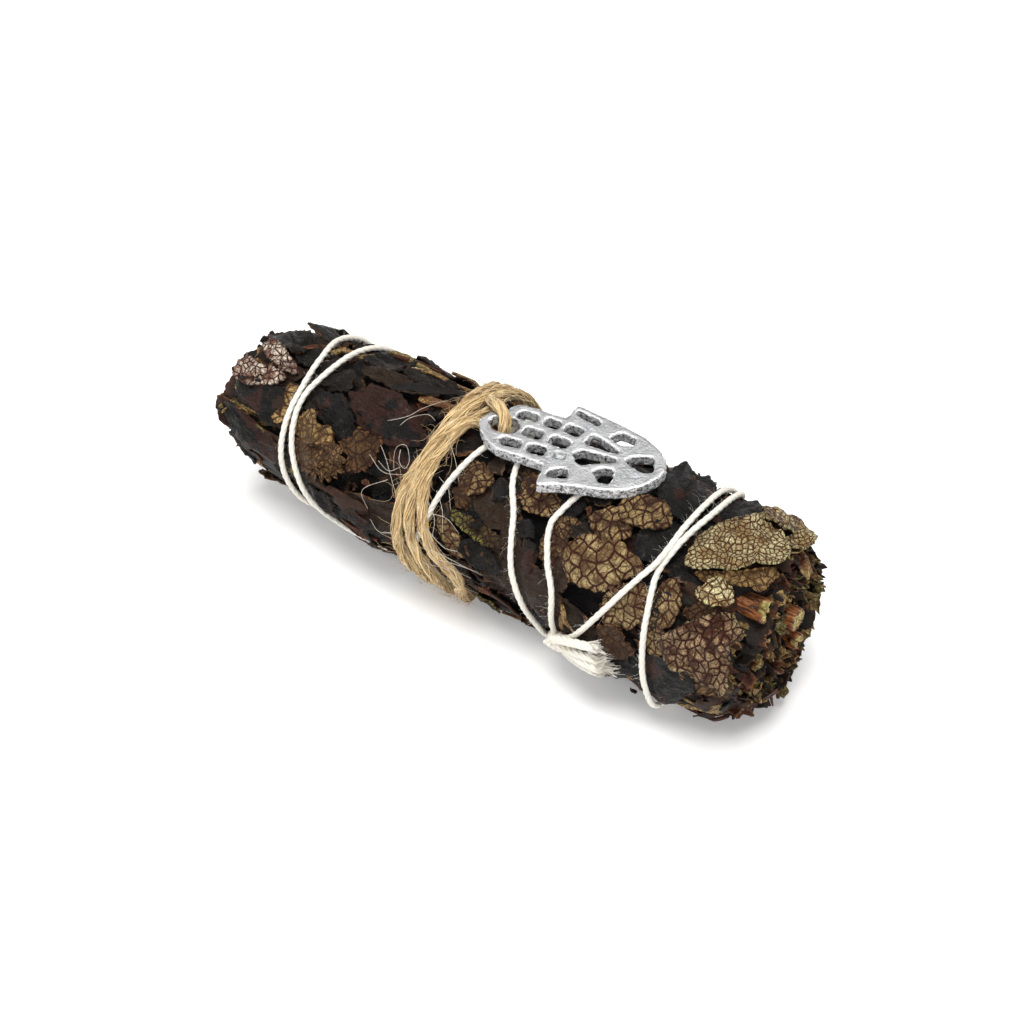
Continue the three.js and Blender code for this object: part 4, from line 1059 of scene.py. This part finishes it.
def end_strip(side, radius, start, key):
    """One chopped, wavy layer of leaf that stands out of an end."""
    piece, flat = sheet(10, 5)
    span = 2 + 4 * draw(key)
    u, v = (flat[:, 0] + 1) / 2, (flat[:, 1] + 1) / 2
    s = (u - 0.5) * span
    spot = np.stack([s + 20 * draw(key + 1), v * 1.5], axis=1)
    lean = (draw(key + 2) - 0.5) * 2.4 * v ** 2
    r = radius + 1.1 * noise(spot, 1.6, key) + 0.5 * noise(spot, 0.7, key + 1) + lean
    angle = start + np.degrees(s / max(radius, 1.5))
    ragged = 0.9 * noise(spot, 1.2, key + 2) + 0.5 * noise(spot, 0.45, key + 3)
    tip = end_reach(side, radius, angle) + side * (ragged + 2.6 * (draw(key + 3) - 0.75))
    x = tip - side * (4 + 0.3 * radius) * (1 - v)
    r = np.minimum(r, envelope(x, angle) - 0.5)
    points = placed(x, angle, np.maximum(r, 0.1))
    if side > 0:
        for across, up, cut, stem, _ in STEMS:
            away = np.hypot(points[:, 1] - across, points[:, 2] - axis_height(cut) - up) - stem
            points[:, 0] = np.minimum(points[:, 0], cut - 1.6 + 4 * np.maximum(0, away - 0.5))
    shaped(piece, kept(points, reach=0.5))
    tone = 0.6 * draw(key + 4) ** 1.4 + 0.6 * v ** 6 * draw(key + 5) + (0.35 if draw(key + 6) > 0.8 else 0)
    give(piece, tone=np.clip(tone, 0, 1))
    return piece


def end_crumb(side, key):
    """A small torn bit of leaf standing in an end."""
    piece, flat = sheet(6, 4)
    radius = (14.6 if side > 0 else 11.4) * math.sqrt(draw(key))
    angle = 360 * draw(key + 1)
    size = 0.5 + 1.3 * draw(key + 2) ** 2
    local = flat * size * np.array([1, 0.35 + 0.4 * draw(key + 3)])
    local = local + 0.3 * size * shake(flat + key, 0.8, 1)
    height = (draw(key + 4) - 0.3) * 0.8 / size * local[:, 0] ** 2 + 0.3 * size * noise(flat + key, 0.8, 3)
    turned = Matrix.Rotation(6.3 * draw(key + 5), 3, "X")
    for axis, amount in (("Y", draw(key + 6)), ("Z", draw(key + 7))):
        turned = turned @ Matrix.Rotation(1.6 * (amount - 0.5), 3, axis)
    points = np.stack([local[:, 0], local[:, 1], height], axis=1) @ np.array(turned).T
    x = end_reach(side, radius, angle) - side * (0.3 + 1.8 * draw(key + 8))
    shaped(piece, kept(points + placed(x, angle, np.minimum(radius, envelope(x, angle) - 0.8)), reach=0))
    kind = draw(key + 9)
    tone = 0.5 * draw(key + 10) if kind < 0.4 else 0.5 + 0.5 * draw(key + 10)
    tone = tone + 0.12 * np.max(np.abs(flat), axis=1) ** 4
    give(piece, tone=np.minimum(tone, 1))
    return piece


def end_pieces(side):
    pieces = [end_crumb(side, TORN_KEY + 2000 * (side > 0) + 17 * k) for k in range(230)]
    for ring, radius in enumerate(np.arange(1.0, 16.0 if side > 0 else 14.0, 1.05)):
        count = max(2, round(2 * math.pi * radius / 3.9))
        for k in range(count):
            key = STRIP_KEY + 900 * (side > 0) + 37 * ring + 5 * k
            start = 360 * (k + 0.5 * draw(key + 7)) / count + 47 * ring
            pieces.append(end_strip(side, radius + 0.6 * (draw(key + 8) - 0.5), start, key))
    return pieces


def stem_piece(across, up, cut, radius, split, key):
    """One stem with its bark and, at the cut, its sunken pith."""
    around = 40
    a = 2 * np.pi * np.arange(around) / around
    circle = np.stack([np.cos(a), np.sin(a)], axis=1)
    stations = [(STEM_BURIED - i, 0.88 + 0.012 * i, 0) for i in range(STEM_BURIED)] + STEM_TIP
    rings = []
    pith = []
    for i, (back, share, soft) in enumerate(stations):
        wave = noise(circle * 1.3 + 0.05 * back, 0.5, key)
        torn = split * np.maximum(0, noise(circle * 2.2, 0.8, key + 2)) * (back < 1)
        x = cut - back - torn + 0.1 * noise(circle * 3, 0.5, key + 3 + i) * (back < 1)
        reach = radius * share * (1 + 0.09 * wave) + 0.12 * torn
        high = float(axis_height(cut)) + up
        rings.append(np.stack([x, across + reach * circle[:, 0], high + reach * circle[:, 1]], axis=1))
        pith.append(np.full(around, float(soft)))
    piece = mesh_piece(np.concatenate(rings), ring_faces(len(rings), around))
    give(piece, pith=np.concatenate(pith))
    return piece


# Cords


def along_line(line):
    return np.concatenate([[0], np.cumsum(np.linalg.norm(np.diff(line, axis=0), axis=1))])


def plied(line, lay, key, plies=3, ply=0.36, offset=0.15):
    """Tubes of the twisted plies of a cord."""
    normals, sides = cord_frames(line)
    length = along_line(line)
    made = []
    for k in range(plies):
        phase = (2 * np.pi * (length / lay + k / plies))[:, None]
        strand = line + offset * (np.cos(phase) * normals + np.sin(phase) * sides)
        made.append(tube(strand, ply, 6, wobble=0.1, seed=key + k * 999))
    return made


def bunch(line, lay, strands, out, thick, key):
    """Tubes of the many strands of a loosely twisted cord, and the strand of each point."""
    normals, sides = cord_frames(line)
    length = along_line(line)
    made = []
    shades = []
    for k in range(strands):
        reach = out * math.sqrt((k + 0.5) / strands)
        path = np.stack([length, 0 * length + 3.3 * k], axis=1)
        drift = (0.18 * noise(path, (4, 1), key) + 0.13 * noise(path, (1.6, 1), key + 2))[:, None]
        wander = (1.4 * noise(path, (5, 1), key + 1))[:, None]
        phase = (2 * np.pi * length / lay + k * GOLDEN_TURN)[:, None] + wander
        strand = kept(line + (reach + drift) * (np.cos(phase) * normals + np.sin(phase) * sides), thick)
        made.append(tube(strand, thick * (0.75 + 0.6 * draw(k + key)), 4, wobble=0.4, seed=k * 333 + key))
        shades.append(np.full(len(made[-1][0]), draw(k * 5 + 2 + key)))
    return made, shades


def hair(start, direction, long, radius, key, points=7, curve=0.5):
    """A fine bent fibre."""
    t = np.linspace(0, 1, points)[:, None]
    direction = direction / np.linalg.norm(direction)
    drift = np.array([draw(key) - 0.5, draw(key + 1) - 0.5, draw(key + 2) - 0.5])
    second = np.array([draw(key + 3) - 0.5, draw(key + 4) - 0.5, draw(key + 5) - 0.5])
    line = start + long * (t * direction + curve * 2 * (t ** 2 * drift + 0.6 * np.sin(3.3 * t) * t * second))
    middle = np.stack([line[:, 0], 0 * line[:, 0], axis_height(line[:, 0])], axis=1)
    spread = line - middle
    reach = np.linalg.norm(spread, axis=1)
    most = envelope(line[:, 0], np.degrees(np.arctan2(-spread[:, 1], spread[:, 2]))) + HAIR_REACH
    line = kept(middle + spread * np.minimum(1, most / reach)[:, None], 0.08)
    return tube(line, radius * np.linspace(1, 0.5, points), 3)


def on_bundle(places, step=0.5):
    """A smooth line through places on the bundle, given as x, angle and lift."""
    places = np.asarray(places, float)
    spots = np.stack([places[:, 0], places[:, 1] * MM_PER_DEGREE, places[:, 2]], axis=1)
    gaps = np.linalg.norm(np.diff(spots, axis=0), axis=1)
    spots = spline(spots, np.maximum(2, np.ceil(gaps / step)).astype(int))
    angle = spots[:, 1] / MM_PER_DEGREE
    return kept(placed(spots[:, 0], angle, envelope(spots[:, 0], angle) + spots[:, 2]), 0.55)


def wrap_line(at, radius, turn, turns=1.6, advance=0.9, lift=0.75):
    """A line that winds round a crossing of cords on the bundle."""
    ahead, side, out = frame_at(at, turn)
    centre = placed(at[0], at[1], envelope(at[0], at[1]) + lift)
    s = np.linspace(0, 1, 40)[:, None]
    phase = 2 * np.pi * turns * s
    return centre + radius * (np.cos(phase) * out * 0.8 + np.sin(phase) * side) + ahead * advance * (s - 0.5)


# Tools of the panel


class LeafLook(bpy.types.PropertyGroup):
    thickness: FloatProperty(name="Thickness", description="Of a leaf", default=0.0003, unit="LENGTH")
    net_spacing: FloatProperty(
        name="Net detail", description="Between the points of a pale leaf", default=0.00023, unit="LENGTH")
    dark_spacing: FloatProperty(
        name="Dark detail", description="Between the points of a dark leaf", default=0.00038, unit="LENGTH")
    rings: IntProperty(name="Rings", description="Of dark leaves along the stick", default=8)
    flakes: IntProperty(name="Flakes", description="Crumbled bits of leaf in the gaps", default=540)
    round_pale: IntProperty(name="Pale leaves round", description="On the sides and the back", default=24)
    dark_color: FloatVectorProperty(
        name="Dark", description="Colour of the dark leaves",
        subtype="COLOR", default=(0.005, 0.0046, 0.0043))
    red_color: FloatVectorProperty(
        name="Red patches", description="Colour of their patches",
        subtype="COLOR", default=(0.032, 0.0115, 0.0075))


class CordLook(bpy.types.PropertyGroup):
    thread_lay: FloatProperty(
        name="Thread lay", description="Length of one twist", default=0.0042, unit="LENGTH")
    twine_lay: FloatProperty(
        name="Twine lay", description="Length of one twist", default=0.026, unit="LENGTH")
    fuzz: IntProperty(name="Fuzz", description="Fibres that stand off the thread", default=2100)
    hairs: IntProperty(name="Hairs", description="Stray hairs of the twine", default=840)
    thread_color: FloatVectorProperty(
        name="Thread", description="Colour of the thread", subtype="COLOR", default=(0.8, 0.77, 0.7))
    twine_color: FloatVectorProperty(
        name="Twine", description="Colour of the twine", subtype="COLOR", default=(0.38, 0.235, 0.095))


class CharmLook(bpy.types.PropertyGroup):
    top: FloatProperty(name="Top", description="Height of its face", default=0.0359, unit="LENGTH")
    thick: FloatProperty(name="Thickness", description="Of the casting", default=0.0022, unit="LENGTH")
    tilt: FloatProperty(
        name="Tilt", description="Towards the front", default=math.radians(10), unit="ROTATION")
    turn: FloatProperty(
        name="Turn", description="From the stick", default=math.radians(10.4), unit="ROTATION")
    metal_color: FloatVectorProperty(
        name="Metal", description="Colour of the casting", subtype="COLOR", default=(0.42, 0.425, 0.43))


class StageLook(bpy.types.PropertyGroup):
    distance: FloatProperty(name="Distance", description="Of the camera", default=0.3, unit="LENGTH")
    azimuth: FloatProperty(
        name="Azimuth", description="Of the camera", default=math.radians(35.06), unit="ROTATION")
    elevation: FloatProperty(
        name="Elevation", description="Of the camera", default=math.radians(41.38), unit="ROTATION")
    lens: FloatProperty(name="Lens", description="Focal length in millimetres", default=62.28)
    target: FloatVectorProperty(
        name="Target", description="What the camera looks at",
        subtype="XYZ", default=(-0.00471, 0.00662, 0.00825))


def ring_leaves(look):
    """Dark leaves in rings round the bundle, so that it is covered on all sides."""
    pieces = []
    around = 7
    for ring in range(look.rings):
        for k in range(around):
            key = RING_KEY + ring * 31 + k * 11
            angle = float(wrap(360 / around * (k + 0.5 * (ring % 2) + 0.5 * (draw(key + 1) - 0.5))))
            turn = (180 if draw(key + 2) < 0.5 else 0) + 50 * (draw(key + 3) - 0.5)
            long, wide = 17 + 9 * draw(key + 4), 8 + 4 * draw(key + 5)
            x = -44 + 88 * ring / (look.rings - 1) + 5 * (draw(key) - 0.5)
            x = min(max(x, 0.62 * long - 52), 47.5 - 0.62 * long)
            front = -50 < angle < 142
            level = -2 - 0.6 * draw(key + 6) if front else -1.1 + 1.1 * draw(key + 6)
            outline = whole_outline(long, wide, key)
            pieces.append(dark_leaf((x, angle), turn, outline, level, key, 0.7))
    return pieces


class SMUDGE_OT_bundle(bpy.types.Operator):
    """Makes the crumbled inside of the bundle, which shows between the leaves"""
    bl_idname = "smudge.bundle"
    bl_label = "Bundle"

    def execute(self, context):
        bpy.ops.object.select_all(action="DESELECT")
        bpy.ops.mesh.primitive_uv_sphere_add(segments=128, ring_count=120, radius=1)
        piece = context.active_object
        ball = mesh_points(piece.data)
        polar = np.arccos(np.clip(ball[:, 2], -1, 1)) / np.pi
        angle = np.degrees(np.arctan2(ball[:, 1], ball[:, 0]))
        cap = 0.12
        along = np.clip((polar - cap) / (1 - 2 * cap), 0, 1)
        x = -50.2 + along * 97.6
        closing = np.clip(np.minimum(polar, 1 - polar) / cap, 0, 1)
        uneven = noise(np.stack([x, angle * MM_PER_DEGREE], axis=1), (5, 2), 3)
        inset = (2.4 + 0.8 * uneven) * (1 - resting(x, angle))
        points = placed(x, angle, (envelope(x, angle) - inset) * closing ** 0.8)
        lumps = 0.5 * noise(points, 1.6, 4) + 0.3 * noise(points, 0.8, 5)
        points[:, 0] += np.where(closing < 1, 1.2 * noise(points, 2.2, 6), 0)
        spread = points[:, 1:] - np.stack([0 * x, axis_height(x)], axis=1)
        reach = np.maximum(np.linalg.norm(spread, axis=1), 1e-6)
        points[:, 1:] += spread / reach[:, None] * lumps[:, None] * np.minimum(1, reach / 3)[:, None]
        shaped(piece, kept(points, 0))
        finished(piece, "bundle", core_finish(), "leaf_dark", "leaf_pack")
        return {"FINISHED"}


class SMUDGE_OT_dark_leaves(bpy.types.Operator):
    """Makes the dark leaves that cover the bundle"""
    bl_idname = "smudge.dark_leaves"
    bl_label = "Dark leaves"

    def execute(self, context):
        look = context.scene.smudge_leaves
        finish = dark_leaf_finish(look)
        thick = look.thickness / MM
        front = []
        for i, (x, angle, turn, long, wide, level) in enumerate(DARK_LEAVES):
            outline = DARK_OUTLINES.get(i) or whole_outline(long, wide, 40 * i)
            front.append(dark_leaf((x, angle), turn, outline, level, 40 * i, look.dark_spacing / MM))
        finished(thickened(joined(front), thick), "leaves_front", finish, "leaf_dark", "leaf_pack", smooth=50)
        back = thickened(joined(ring_leaves(look)), thick)
        finished(back, "leaves_round", finish, "leaf_dark", "leaf_pack", smooth=50)
        return {"FINISHED"}


class SMUDGE_OT_pale_leaves(bpy.types.Operator):
    """Makes the outermost leaves that show their pale, net-veined undersides"""
    bl_idname = "smudge.pale_leaves"
    bl_label = "Pale leaves"

    def execute(self, context):
        look = context.scene.smudge_leaves
        finishes = {kind: net_leaf_finish(kind) for kind in NET_KINDS}
        spacing, thick = look.net_spacing / MM, look.thickness / MM
        for i, (name, row) in enumerate(PALE_LEAVES.items()):
            at, turn, kind, cell, level, curl, own, outline = row
            own = {"teeth": 0.35, "key": PALE_KEY + 17 * i, "spacing": spacing, **own}
            piece = net_leaf(at, turn, outline, cell, level, curl, **own)
            thickened(piece, thick)
            finished(piece, name + "_fine", finishes[kind], "leaf_underside", name, smooth=60)
        for i, (at, turn, kind, cell, level, outline, *hold) in enumerate(MORE_LEAVES):
            key = MORE_KEY + 17 * i
            piece = net_leaf(at, turn, outline, cell, level, 0.5, 0.4, key, 1.2 * spacing, *hold or [47])
            thickened(piece, thick)
            finished(piece, f"leaf_more_{i + 1}", finishes[kind], "leaf_underside", "leaf_pack", smooth=60)
        kinds = list(NET_KINDS)
        for i in range(look.round_pale):
            key = ROUND_KEY + 23 * i
            at = (-44 + 88 * (i + draw(key)) / look.round_pale, float(wrap(142 + 158 * draw(key + 1))))
            outline = whole_outline(8 + 6 * draw(key + 2), 4.5 + 3 * draw(key + 3), key)
            cell = 0.9 + 0.7 * draw(key + 5)
            piece = net_leaf(at, 360 * draw(key + 4), outline, cell, -0.1, 0.4, 0.5, key, 0.4)
            thickened(piece, thick)
            kind = kinds[int(draw(key + 6) * len(kinds))]
            finished(piece, f"leaf_round_{i + 1}", finishes[kind], "leaf_underside", "leaf_pack", smooth=60)
        return {"FINISHED"}


class SMUDGE_OT_crumbs(bpy.types.Operator):
    """Makes the stalks and the broken bits of leaf between the leaves"""
    bl_idname = "smudge.crumbs"
    bl_label = "Stalks and crumbs"

    def execute(self, context):
        look = context.scene.smudge_leaves
        finish = crumb_finish()
        stalks = [stalk_piece(*stalk, STALK_KEY + i) for i, stalk in enumerate(STALKS)]
        finished(thickened(joined(stalks), 0.4), "stalks", finish, "leaf_dark", "leaf_pack", smooth=60)
        crumbs = [crumb_piece(CRUMB_KEY + 13 * k) for k in range(look.flakes)]
        finished(thickened(joined(crumbs), 0.2), "crumbs", finish, "leaf_dark", "leaf_pack", smooth=40)
        return {"FINISHED"}


class SMUDGE_OT_ends(bpy.types.Operator):
    """Makes the chopped layers of leaf at both ends"""
    bl_idname = "smudge.ends"
    bl_label = "Chopped ends"

    def execute(self, context):
        finish = crumb_finish()
        for side, name in ((1, "end_layers_right"), (-1, "end_layers_left")):
            layers = thickened(joined(end_pieces(side)), 0.22, -side)
            finished(layers, name, finish, "leaf_dark", "leaf_pack", smooth=45)
        return {"FINISHED"}


class SMUDGE_OT_stems(bpy.types.Operator):
    """Makes the cut stems at the chopped end"""
    bl_idname = "smudge.stems"
    bl_label = "Cut stems"

    def execute(self, context):
        finish = stem_finish()
        for i, stem in enumerate(STEMS):
            name = f"stem_{i + 1}"
            finished(stem_piece(*stem, STEM_KEY + 7 * i), name + "_fine", finish, "stem", name)
        return {"FINISHED"}


class SMUDGE_OT_thread(bpy.types.Operator):
    """Makes the twisted cotton thread with its fuzz, knot and frayed tails"""
    bl_idname = "smudge.thread"
    bl_label = "Thread"

    def execute(self, context):
        look = context.scene.smudge_cords
        finish = cotton_finish(look)
        lay = look.thread_lay / MM
        line = route_points(route_places(THREAD_ROUTE, 0.45), THREAD_RADIUS, THREAD_LIFT)
        finished(tubes_piece(plied(line, lay, 0)), "thread", finish, "cotton", "cotton_thread")
        knot = []
        for i, (at, radius, turn) in enumerate(KNOT_WRAPS):
            knot += plied(wrap_line(at, radius, turn), lay, WRAP_KEY + i, ply=0.32, offset=0.26)
        for i, places in enumerate(KNOT_LOOPS):
            knot += plied(on_bundle(places), lay * 1.3, LOOP_KEY + i, plies=4, ply=0.34, offset=0.42)
        for i, (at, turn, long, wide) in enumerate(TUFTS):
            ahead, side, out = frame_at(at, turn)
            root = placed(at[0], at[1], envelope(*at) + 1.0)
            for k in range(130):
                key = 400 * i + 7 * k
                a, r = 2 * math.pi * draw(key), math.sqrt(draw(key + 1))
                spread = math.cos(a) * side * 0.6 + math.sin(a) * out * 0.5
                start = root + 0.8 * r * spread - ahead * 1.2
                aim = ahead + spread * r * wide * 0.55
                knot.append(hair(start, aim, long * (0.5 + 0.6 * draw(key + 2)), 0.085, key, 6, 0.3))
        finished(tubes_piece(knot), "thread_knot", finish, "cotton", "cotton_thread")
        normals, sides = cord_frames(line)
        fuzz = []
        for k in range(look.fuzz):
            key = FUZZ_KEY + 9 * k
            i = int(draw(key) * (len(line) - 1))
            a = 2 * math.pi * draw(key + 1)
            away = math.cos(a) * normals[i] + math.sin(a) * sides[i]
            along = line[min(i + 1, len(line) - 1)] - line[max(i - 1, 0)]
            aim = away * (0.2 + draw(key + 2)) + along * (draw(key + 3) - 0.5) * 3
            fuzz.append(hair(line[i] + 0.45 * away, aim, 0.35 + 1.2 * draw(key + 4) ** 3, 0.016, key, 4, 0.8))
        finished(tubes_piece(fuzz), "thread_fuzz", finish, "cotton", "cotton_thread")
        return {"FINISHED"}


class SMUDGE_OT_twine(bpy.types.Operator):
    """Makes the jute twine from its strands, with its knot and its loose fibres"""
    bl_idname = "smudge.twine"
    bl_label = "Twine"

    def execute(self, context):
        look = context.scene.smudge_cords
        finish = jute_finish(look)
        lay = look.twine_lay / MM
        line = route_points(route_places(TWINE_ROUTE, 0.9), TWINE_RADIUS, TWINE_LIFT)
        made, shades = bunch(line, lay, 54, 0.86, 0.118, 0)
        more, tones = bunch(on_bundle(TWINE_LOOSE, 0.9), lay, 16, 0.75, 0.115, LOOSE_KEY)
        made += more
        shades += tones
        (x, angle), long, wide, turn = TWINE_KNOT
        for i in range(3):
            winding = wrap_line((x + 0.9 * (i - 1), angle), wide / 2 - 0.4, turn, 1.3, 1.2, 1.5)
            more, tones = bunch(winding, lay, 10, 0.75, 0.2, WINDING_KEY + i)
            made += more
            shades += tones
        piece = tubes_piece(made)
        give(piece, tone=np.concatenate(shades))
        finished(piece, "twine", finish, "jute", "jute_twine")
        fibres = []
        tones = []
        normals, sides = cord_frames(line)
        for k in range(look.hairs):
            key = FIBRE_KEY + 11 * k
            i = 1 + int(draw(key) * (len(line) - 3))
            a = 2 * math.pi * draw(key + 1)
            away = math.cos(a) * normals[i] + math.sin(a) * sides[i]
            along = (line[i + 1] - line[i - 1]) * (1 if draw(key + 2) < 0.5 else -1)
            start = line[i] + 1.05 * away
            out = start - np.array([start[0], 0, axis_height(start[0])])
            aim = away * (0.15 + 0.5 * draw(key + 5) ** 2) + along * 0.6 + 0.12 * out / np.linalg.norm(out)
            fibres.append(hair(start, aim, 1.2 + 5.5 * draw(key + 3) ** 3, 0.04, key, 8, 0.5))
            tones.append(np.full(len(fibres[-1][0]), 0.5 + 0.5 * draw(key + 4)))
        for places in HAIRS:
            points = on_bundle(places, 0.8)
            fibres.append(tube(points, 0.05 * np.linspace(1.0, 0.7, len(points)), 4))
            tones.append(np.full(len(fibres[-1][0]), 0.1))
        piece = tubes_piece(fibres)
        give(piece, tone=np.concatenate(tones))
        finished(piece, "loose_fibres", hair_finish(), "jute", "jute_twine")
        return {"FINISHED"}


def cut_corners(points, grow=0.0, times=2):
    """A closed polygon with its corners rounded off, and its points moved out from the middle."""
    points = np.asarray(points, float)
    spread = points - points.mean(axis=0)
    points = points + grow * spread / np.linalg.norm(spread, axis=1)[:, None]
    for _ in range(times):
        after = np.roll(points, -1, axis=0)
        points = np.stack([0.84 * points + 0.16 * after, 0.16 * points + 0.84 * after], axis=1).reshape(-1, 2)
    return points


class SMUDGE_OT_charm(bpy.types.Operator):
    """Makes the flat cast hand charm with its windows and its ring"""
    bl_idname = "smudge.charm"
    bl_label = "Charm"

    def execute(self, context):
        look = context.scene.smudge_charm
        thick = look.thick / MM
        bevel = 0.22
        curve = bpy.data.curves.new("charm", "CURVE")
        curve.dimensions = "2D"
        curve.fill_mode = "BOTH"
        for i, loop in enumerate([CHARM_OUTLINE, *CHARM_WINDOWS]):
            points = cut_corners(loop, WINDOW_GROWTH if i else 0)
            line = curve.splines.new("POLY")
            line.points.add(len(points) - 1)
            line.points.foreach_set("co", np.pad(points * MM, ((0, 0), (0, 2))).ravel())
            line.use_cyclic_u = True
        curve.extrude = (thick / 2 - bevel) * MM
        curve.bevel_depth = bevel * MM
        curve.bevel_resolution = 2
        curve.offset = -bevel * MM
        piece = bpy.data.objects.new("charm", curve)
        context.collection.objects.link(piece)
        only(piece)
        bpy.ops.object.convert(target="MESH")
        piece = context.active_object
        remesh = piece.modifiers.new("even", "REMESH")
        remesh.mode = "VOXEL"
        remesh.voxel_size = 0.21 * MM
        bpy.ops.object.modifier_apply(modifier=remesh.name)
        points = mesh_points(piece.data) / MM
        normals = np.zeros(points.size)
        piece.data.vertex_normals.foreach_get("vector", normals)
        normals = normals.reshape(-1, 3)
        wall = 1 - ease(0.25, 0.6, np.abs(normals[:, 2]))
        # The upward-facing bevels, which the finish paints with a white highlight.
        lip = ease(0.45, 0.65, normals[:, 2]) * (1 - ease(0.86, 0.97, normals[:, 2]))
        rough = 0.16 * noise(points, (0.6, 0.6, 1.2), 1) + 0.14 * noise(points, 0.35, 2)
        soft = 0.02 * noise(points, 0.6, 3) + 0.03 * noise(points, 3.5, 4)
        points += normals * (wall * rough + (1 - wall) * soft)[:, None]
        left, right, low, high = CHARM_RECESS
        inside = ease(left, left + 0.5, points[:, 0]) * (1 - ease(right - 0.5, right, points[:, 0]))
        inside *= ease(low, low + 0.4, points[:, 1]) * (1 - ease(high - 0.4, high, points[:, 1]))
        points[:, 2] -= np.where(points[:, 2] > 0, RECESS_DEEP * inside, 0)
        points[:, 2] -= thick / 2
        turned = np.array(Matrix.Rotation(look.tilt, 3, "X") @ Matrix.Rotation(look.turn, 3, "Z"))
        shaped(piece, points @ turned.T + np.array([0, 0, look.top / MM]))
        give(piece, wall=wall)
        give(piece, lip=lip)
        finished(piece, "charm", cast_finish(look), "cast_metal", "hamsa_charm")
        return {"FINISHED"}


class SMUDGE_OT_stage(bpy.types.Operator):
    """Sets the floor, the soft lights and the camera"""
    bl_idname = "smudge.stage"
    bl_label = "Stage"

    def execute(self, context):
        look = context.scene.smudge_stage
        bpy.ops.object.select_all(action="DESELECT")
        bpy.ops.mesh.primitive_plane_add(size=6)
        floor = context.active_object
        floor.name = "floor"
        floor.data.materials.append(floor_finish())
        lights = [
            # place, size, watts, colour
            ((0.06, -0.16, 0.9), 0.6, 9.0, (1.0, 0.99, 0.97)),
            ((-0.55, -0.45, 0.6), 0.4, 1.1, (0.97, 0.98, 1.0)),
            ((0.5, -0.6, 0.5), 0.35, 1.6, (1.0, 1.0, 1.0)),
        ]
        for place, size, watts, color in lights:
            bpy.ops.object.light_add(type="AREA", location=place)
            lamp = context.active_object
            lamp.data.shape = "DISK"
            lamp.data.size = size
            lamp.data.energy = watts
            lamp.data.color = color
            lamp.rotation_euler = (-Vector(place)).to_track_quat("-Z", "Y").to_euler()
        world = bpy.data.worlds.new("studio")
        world.use_nodes = True
        world.node_tree.nodes["Background"].inputs["Color"].default_value = (1, 1, 1, 1)
        world.node_tree.nodes["Background"].inputs["Strength"].default_value = 0.37
        context.scene.world = world
        context.scene.view_settings.view_transform = "Standard"
        a, e = look.azimuth, look.elevation
        back = Vector((math.sin(a) * math.cos(e), -math.cos(a) * math.cos(e), math.sin(e)))
        bpy.ops.object.camera_add(location=Vector(look.target) + back * look.distance)
        camera = context.active_object
        camera.rotation_euler = (-back).to_track_quat("-Z", "Y").to_euler()
        camera.data.sensor_width = 36
        camera.data.lens = look.lens
        camera.data.clip_start = 0.01
        context.scene.camera = camera
        return {"FINISHED"}


class SMUDGE_PT_panel(bpy.types.Panel):
    """The pieces of the smudge stick, in the order in which they are made"""
    bl_label = "Smudge Stick"
    bl_idname = "SMUDGE_PT_panel"
    bl_space_type = "VIEW_3D"
    bl_region_type = "UI"
    bl_category = "Smudge Stick"

    def draw(self, context):
        for looks in ("smudge_leaves", "smudge_cords", "smudge_charm", "smudge_stage"):
            box = self.layout.box()
            group = getattr(context.scene, looks)
            for name in group.__annotations__:
                box.prop(group, name)
        for operator in OPERATORS:
            self.layout.operator(operator.bl_idname)


LOOKS = {
    "smudge_leaves": LeafLook, "smudge_cords": CordLook, "smudge_charm": CharmLook, "smudge_stage": StageLook,
}
OPERATORS = [
    SMUDGE_OT_stage, SMUDGE_OT_bundle, SMUDGE_OT_dark_leaves, SMUDGE_OT_pale_leaves, SMUDGE_OT_crumbs,
    SMUDGE_OT_ends, SMUDGE_OT_stems, SMUDGE_OT_thread, SMUDGE_OT_twine, SMUDGE_OT_charm,
]


def register():
    for made in [*LOOKS.values(), *OPERATORS, SMUDGE_PT_panel]:
        bpy.utils.register_class(made)
    for name, group in LOOKS.items():
        setattr(bpy.types.Scene, name, PointerProperty(type=group))


def unregister():
    for name in LOOKS:
        delattr(bpy.types.Scene, name)
    for made in reversed([*LOOKS.values(), *OPERATORS, SMUDGE_PT_panel]):
        bpy.utils.unregister_class(made)


def main():
    register()
    bpy.ops.smudge.stage()
    bpy.ops.smudge.bundle()
    bpy.ops.smudge.dark_leaves()
    bpy.ops.smudge.pale_leaves()
    bpy.ops.smudge.crumbs()
    bpy.ops.smudge.ends()
    bpy.ops.smudge.stems()
    bpy.ops.smudge.thread()
    bpy.ops.smudge.twine()
    bpy.ops.smudge.charm()
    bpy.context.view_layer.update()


if __name__ == "__main__":
    main()
